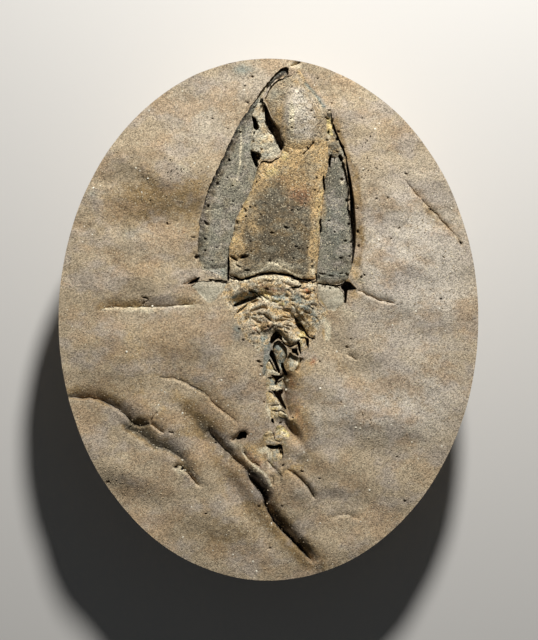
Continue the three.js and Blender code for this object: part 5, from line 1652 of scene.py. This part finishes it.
class FossilColours(bpy.types.PropertyGroup):
    """Colours of the stone."""

    rock: colour_property("Rock", "Main colour of the sandstone", (175, 158, 131))
    rock_cool: colour_property("Rock cool", "Grey-mauve blotches of the sandstone",
                               (170, 159, 147))
    rock_warm: colour_property("Rock warm", "Orange-brown blotches of the sandstone",
                               (170, 144, 112))
    grey_plate: colour_property("Grey plate", "The two long side plates", (136, 131, 114))
    grey_blotch: colour_property("Grey blotch", "Greener blotches of the side plates",
                                 (120, 120, 106))
    middle_plate: colour_property("Middle plate", "The skin of the body's middle",
                                  (160, 143, 116))
    pale_plate: colour_property("Pale plate", "The corner plates and wedges", (188, 180, 158))
    stem: colour_property("Stem", "The stem and its two cones", (188, 167, 124))
    # Pale: the pale skin of the plates, and on the rock partly painted light that brightens and greys
    # patches of the face.
    pale: colour_property("Pale", "Pale grey-cream skin", (191, 181, 165))
    # Brown: real brown stains, and painted shade on the rock's ledges and slopes and on the bulge's left
    # flank.
    brown: colour_property("Brown", "Brown stains of the rock", (143, 120, 84))
    ochre: colour_property("Ochre", "Ochre crust and stains", (192, 163, 117))
    rust: colour_property("Rust", "Rusty stains", (168, 116, 80))
    yellow: colour_property("Yellow", "Pale yellow crumbs", (208, 190, 130))
    # Cream: real crumbs, rims and crystals, and painted highlights on the bulge's crest, on lit crack
    # lips and on the ossicles' lower rims.
    cream: colour_property("Cream", "Cream rims and crystals", (214, 202, 172))
    blue_grey: colour_property("Blue grey", "Blue-grey patches", (130, 136, 127))
    # Dark crust: a real dark crust of the plates, and also painted shade on shaded slopes, ledges and
    # plate margins.
    dark_crust_and_shade: colour_property("Dark crust", "Dark grey-brown crust", (100, 90, 72))
    # Crevice shade: painted shade, the near-black laid in cracks, pits, open gaps, pockets and deep
    # grooves where shade falls.
    crevice_shade: colour_property("Crevice", "Dirt deep in cracks and pits", (34, 28, 20))


class FossilSizes(bpy.types.PropertyGroup):
    """Sizes of what is scattered on the rock, and the stage."""

    grain_size: bpy.props.FloatProperty(
        name="Grain size", description="Radius of the larger sand grains", subtype="DISTANCE",
        unit="LENGTH", default=0.00009, min=0.00002, max=0.0005)
    fleck_size: bpy.props.FloatProperty(
        name="Fleck size", description="Radius of the mica flecks", subtype="DISTANCE",
        unit="LENGTH", default=0.00013, min=0.00002, max=0.0005)
    light_distance: bpy.props.FloatProperty(
        name="Light distance", description="How far the lamp hangs from the slab",
        subtype="DISTANCE", unit="LENGTH", default=0.21, min=0.1, max=2)
    light_elevation: bpy.props.FloatProperty(
        name="Light elevation", description="Height of the lamp above the face, as an angle",
        subtype="ANGLE", unit="ROTATION", default=math.radians(38), min=0.1, max=1.5)


class FossilOperator:
    """What the fossil's operators share."""

    bl_options = {"REGISTER", "UNDO"}


class FOSSIL_OT_matrix(FossilOperator, bpy.types.Operator):
    """Make the slab of sandstone"""

    bl_idname = "fossil.matrix"
    bl_label = "Sandstone slab"

    def execute(self, context):
        build_matrix(stone("sandstone"))
        return {"FINISHED"}


class FOSSIL_OT_side_plates(FossilOperator, bpy.types.Operator):
    """Make the two long grey side plates"""

    bl_idname = "fossil.side_plates"
    bl_label = "Side plates"

    def execute(self, context):
        grey = stone("grey plate")
        build_plate("left_side_plate", LEFT_SIDE_PLATE, "grey_plate", LEFT_SIDE_PLATE_DABS, grey,
                    rim=-0.85, crown=0.5, roughness=0.035, swells=LEFT_SIDE_PLATE_SWELLS,
                    folds=LEFT_SIDE_PLATE_FOLDS)
        build_plate("right_side_plate", RIGHT_SIDE_PLATE, "grey_plate", RIGHT_SIDE_PLATE_DABS,
                    grey, rim=-0.65, crown=0.45, roughness=0.035)
        return {"FINISHED"}


class FOSSIL_OT_middle_plate(FossilOperator, bpy.types.Operator):
    """Make the middle of the body with the bulge at its head"""

    bl_idname = "fossil.middle_plate"
    bl_label = "Middle plate"

    def execute(self, context):
        build_plate("middle_plate", MIDDLE_PLATE, "ochre_plate", MIDDLE_PLATE_DABS,
                    stone("middle plate"), rim=-0.45, crown=0.3, roughness=0.05,
                    swells=MIDDLE_PLATE_SWELLS, folds=MIDDLE_PLATE_FOLDS)
        return {"FINISHED"}


class FOSSIL_OT_wedge_plates(FossilOperator, bpy.types.Operator):
    """Make the two crumbly wedges beside the bulge"""

    bl_idname = "fossil.wedge_plates"
    bl_label = "Wedge plates"

    def execute(self, context):
        crumbly = stone("crumbly plate")
        build_plate("left_wedge_plate", LEFT_WEDGE_PLATE, "crumbly_plate", WEDGE_DABS, crumbly,
                    rim=-0.55, crown=0.3, roughness=0.12)
        build_plate("right_wedge_plate", RIGHT_WEDGE_PLATE, "crumbly_plate", WEDGE_DABS, crumbly,
                    rim=-0.45, crown=0.25, roughness=0.12)
        return {"FINISHED"}


class FOSSIL_OT_corner_plates(FossilOperator, bpy.types.Operator):
    """Make the two pale plates at the lower corners of the body"""

    bl_idname = "fossil.corner_plates"
    bl_label = "Corner plates"

    def execute(self, context):
        pale = stone("pale plate")
        build_plate("left_corner_plate", LEFT_CORNER_PLATE, "pale_plate", CORNER_DABS, pale,
                    rim=-0.25, crown=0.2, roughness=0.04)
        build_plate("right_corner_plate", RIGHT_CORNER_PLATE, "pale_plate", CORNER_DABS, pale,
                    rim=-0.25, crown=0.25, roughness=0.04)
        return {"FINISHED"}


class FOSSIL_OT_stem(FossilOperator, bpy.types.Operator):
    """Make the stem's root, its two cones and its ossicles"""

    bl_idname = "fossil.stem"
    bl_label = "Stem"

    def execute(self, context):
        build_plate("stem_root", STEM_ROOT, "root_stone", STEM_ROOT_DABS, stone("stem root"),
                    rim=-0.25, crown=0.25, roughness=0.17, swells=STEM_ROOT_SWELLS,
                    folds=STEM_ROOT_FOLDS + root_wrinkles())
        stem = stone("stem")
        build_plate("left_stem_cone", LEFT_STEM_CONE, "stem_stone", STEM_DABS, stem,
                    rim=-1.2, crown=0.6, roughness=0.07)
        build_plate("right_stem_cone", RIGHT_STEM_CONE, "stem_stone", STEM_DABS, stem,
                    rim=-0.9, crown=0.5, roughness=0.07)
        for index, trace in enumerate(STEM_OSSICLES, 1):
            build_plate(f"stem_ossicle_{index}", trace, "stem_stone", STEM_DABS, stem,
                        rim=-1.1, crown=0.3, roughness=0.07, tilt=0.55)
        return {"FINISHED"}


class FOSSIL_OT_scatter(FossilOperator, bpy.types.Operator):
    """Scatter raised sand grains and mica flecks over the rock"""

    bl_idname = "fossil.scatter"
    bl_label = "Grains and flecks"

    def execute(self, context):
        sizes = context.scene.fossil_sizes
        host = scatter_face()
        grains = scatter("sand_grains", host, GRAINS_PER_SQUARE_METRE, sizes.grain_size,
                         flatness=0.7, seed=4, material=stone("sandstone"))
        add_to_body(grains, [], stone("sandstone"))
        flecks = scatter("mica_flecks", host, FLECKS_PER_SQUARE_METRE, sizes.fleck_size,
                         flatness=0.3, seed=8, material=mica())
        add_to_body(flecks, [], mica())
        bpy.data.objects.remove(host)
        return {"FINISHED"}


def mica():
    """The bright, slightly glossy material of the mica flecks."""
    if "mica" in bpy.data.materials:
        return bpy.data.materials["mica"]
    material = bpy.data.materials.new("mica")
    material.use_nodes = True
    tree = material.node_tree
    shader = tree.nodes["Principled BSDF"]
    noise = add_node(tree, "ShaderNodeTexNoise",
                     {"Vector": add_node(tree, "ShaderNodeTexCoord").outputs["Object"],
                      "Scale": 900.0, "Detail": 1.0})
    ramp = add_node(tree, "ShaderNodeMix", {"Factor": noise.outputs[0],
                                            "A": (*linear(226, 216, 188), 1),
                                            "B": (*linear(244, 240, 226), 1)}, data_type="RGBA")
    tree.links.new(ramp.outputs["Result"], shader.inputs["Base Color"])
    shader.inputs["Roughness"].default_value = 0.35
    return material


class FOSSIL_OT_stage(FossilOperator, bpy.types.Operator):
    """Set the pale floor, the lamp, the soft fill and the camera"""

    bl_idname = "fossil.stage"
    bl_label = "Stage"

    def execute(self, context):
        sizes = context.scene.fossil_sizes
        make_floor()
        make_lamp(sizes.light_distance, sizes.light_elevation)
        make_camera()
        context.scene.view_settings.view_transform = "Standard"
        return {"FINISHED"}


def make_floor():
    """A plain pale floor under the slab."""
    half = 3.0
    corners = [(-half, -half, 0), (half, -half, 0), (half, half, 0), (-half, half, 0)]
    mesh = bpy.data.meshes.new("floor")
    mesh.from_pydata(corners, [], [(0, 1, 2, 3)])
    floor = bpy.data.objects.new("floor", mesh)
    bpy.context.scene.collection.objects.link(floor)
    material = bpy.data.materials.new("pale floor")
    material.use_nodes = True
    shader = material.node_tree.nodes["Principled BSDF"]
    shader.inputs["Base Color"].default_value = (*linear(214, 212, 208), 1)
    shader.inputs["Roughness"].default_value = 0.9
    mesh.materials.append(material)


def make_lamp(distance, elevation):
    """A lamp over the head end of the slab, and a weak fill from all round."""
    bearing = math.radians(78)
    direction = Vector((math.cos(bearing) * math.cos(elevation),
                        math.sin(bearing) * math.cos(elevation), math.sin(elevation)))
    face = Vector((0, 0, FACE_LEVEL * MM))
    light = bpy.data.lights.new("lamp", "AREA")
    light.shape = "DISK"
    light.size = 0.03
    light.energy = 0.62
    light.color = (1.0, 0.985, 0.96)
    lamp = bpy.data.objects.new("lamp", light)
    lamp.location = face + direction * distance
    lamp.rotation_euler = direction.to_track_quat("Z", "Y").to_euler()
    bpy.context.scene.collection.objects.link(lamp)
    world = bpy.data.worlds.new("studio")
    world.use_nodes = True
    background = world.node_tree.nodes["Background"]
    background.inputs["Color"].default_value = (0.9, 0.95, 1.0, 1)
    background.inputs["Strength"].default_value = 0.045
    bpy.context.scene.world = world


def make_camera():
    """A camera straight above the slab that frames it as the photograph does."""
    image_height = 640
    centre_column = 269
    centre_row = 320
    lens = 100
    sensor = 36
    data = bpy.data.cameras.new("camera")
    data.lens = lens
    data.sensor_width = sensor
    data.clip_start = 0.01
    camera = bpy.data.objects.new("camera", data)
    view_height = image_height * MM_PER_PIXEL * MM
    distance = view_height * lens / sensor
    offset_x = (centre_column - TRACE_CENTRE[0]) * MM_PER_PIXEL * MM
    offset_y = (TRACE_CENTRE[1] - centre_row) * MM_PER_PIXEL * MM
    camera.location = (offset_x, offset_y, FACE_LEVEL * MM + distance)
    bpy.context.scene.collection.objects.link(camera)
    bpy.context.scene.camera = camera


class FOSSIL_PT_panel(bpy.types.Panel):
    """Sidebar panel with the fossil's colours, sizes and pieces"""

    bl_idname = "FOSSIL_PT_panel"
    bl_label = "Fossil cystoid"
    bl_space_type = "VIEW_3D"
    bl_region_type = "UI"
    bl_category = "Fossil"

    def draw(self, context):
        layout = self.layout
        for group in (context.scene.fossil_colours, context.scene.fossil_sizes):
            column = layout.column()
            for name in group.__annotations__:
                column.prop(group, name)
        column = layout.column()
        for operator in OPERATORS:
            column.operator(operator.bl_idname)


OPERATORS = (FOSSIL_OT_matrix, FOSSIL_OT_side_plates, FOSSIL_OT_middle_plate,
             FOSSIL_OT_wedge_plates, FOSSIL_OT_corner_plates, FOSSIL_OT_stem,
             FOSSIL_OT_scatter, FOSSIL_OT_stage)
CLASSES = (FossilColours, FossilSizes, *OPERATORS, FOSSIL_PT_panel)


def register():
    """Registers the classes and the settings that they share."""
    for entry in CLASSES:
        bpy.utils.register_class(entry)
    bpy.types.Scene.fossil_colours = bpy.props.PointerProperty(type=FossilColours)
    bpy.types.Scene.fossil_sizes = bpy.props.PointerProperty(type=FossilSizes)


def unregister():
    """Takes the settings and the classes away again."""
    del bpy.types.Scene.fossil_sizes
    del bpy.types.Scene.fossil_colours
    for entry in reversed(CLASSES):
        bpy.utils.unregister_class(entry)


def main():
    """Makes every piece and the stage."""
    register()
    bpy.ops.fossil.matrix()
    bpy.ops.fossil.side_plates()
    bpy.ops.fossil.middle_plate()
    bpy.ops.fossil.wedge_plates()
    bpy.ops.fossil.corner_plates()
    bpy.ops.fossil.stem()
    bpy.ops.fossil.scatter()
    bpy.ops.fossil.stage()


if __name__ == "__main__":
    main()
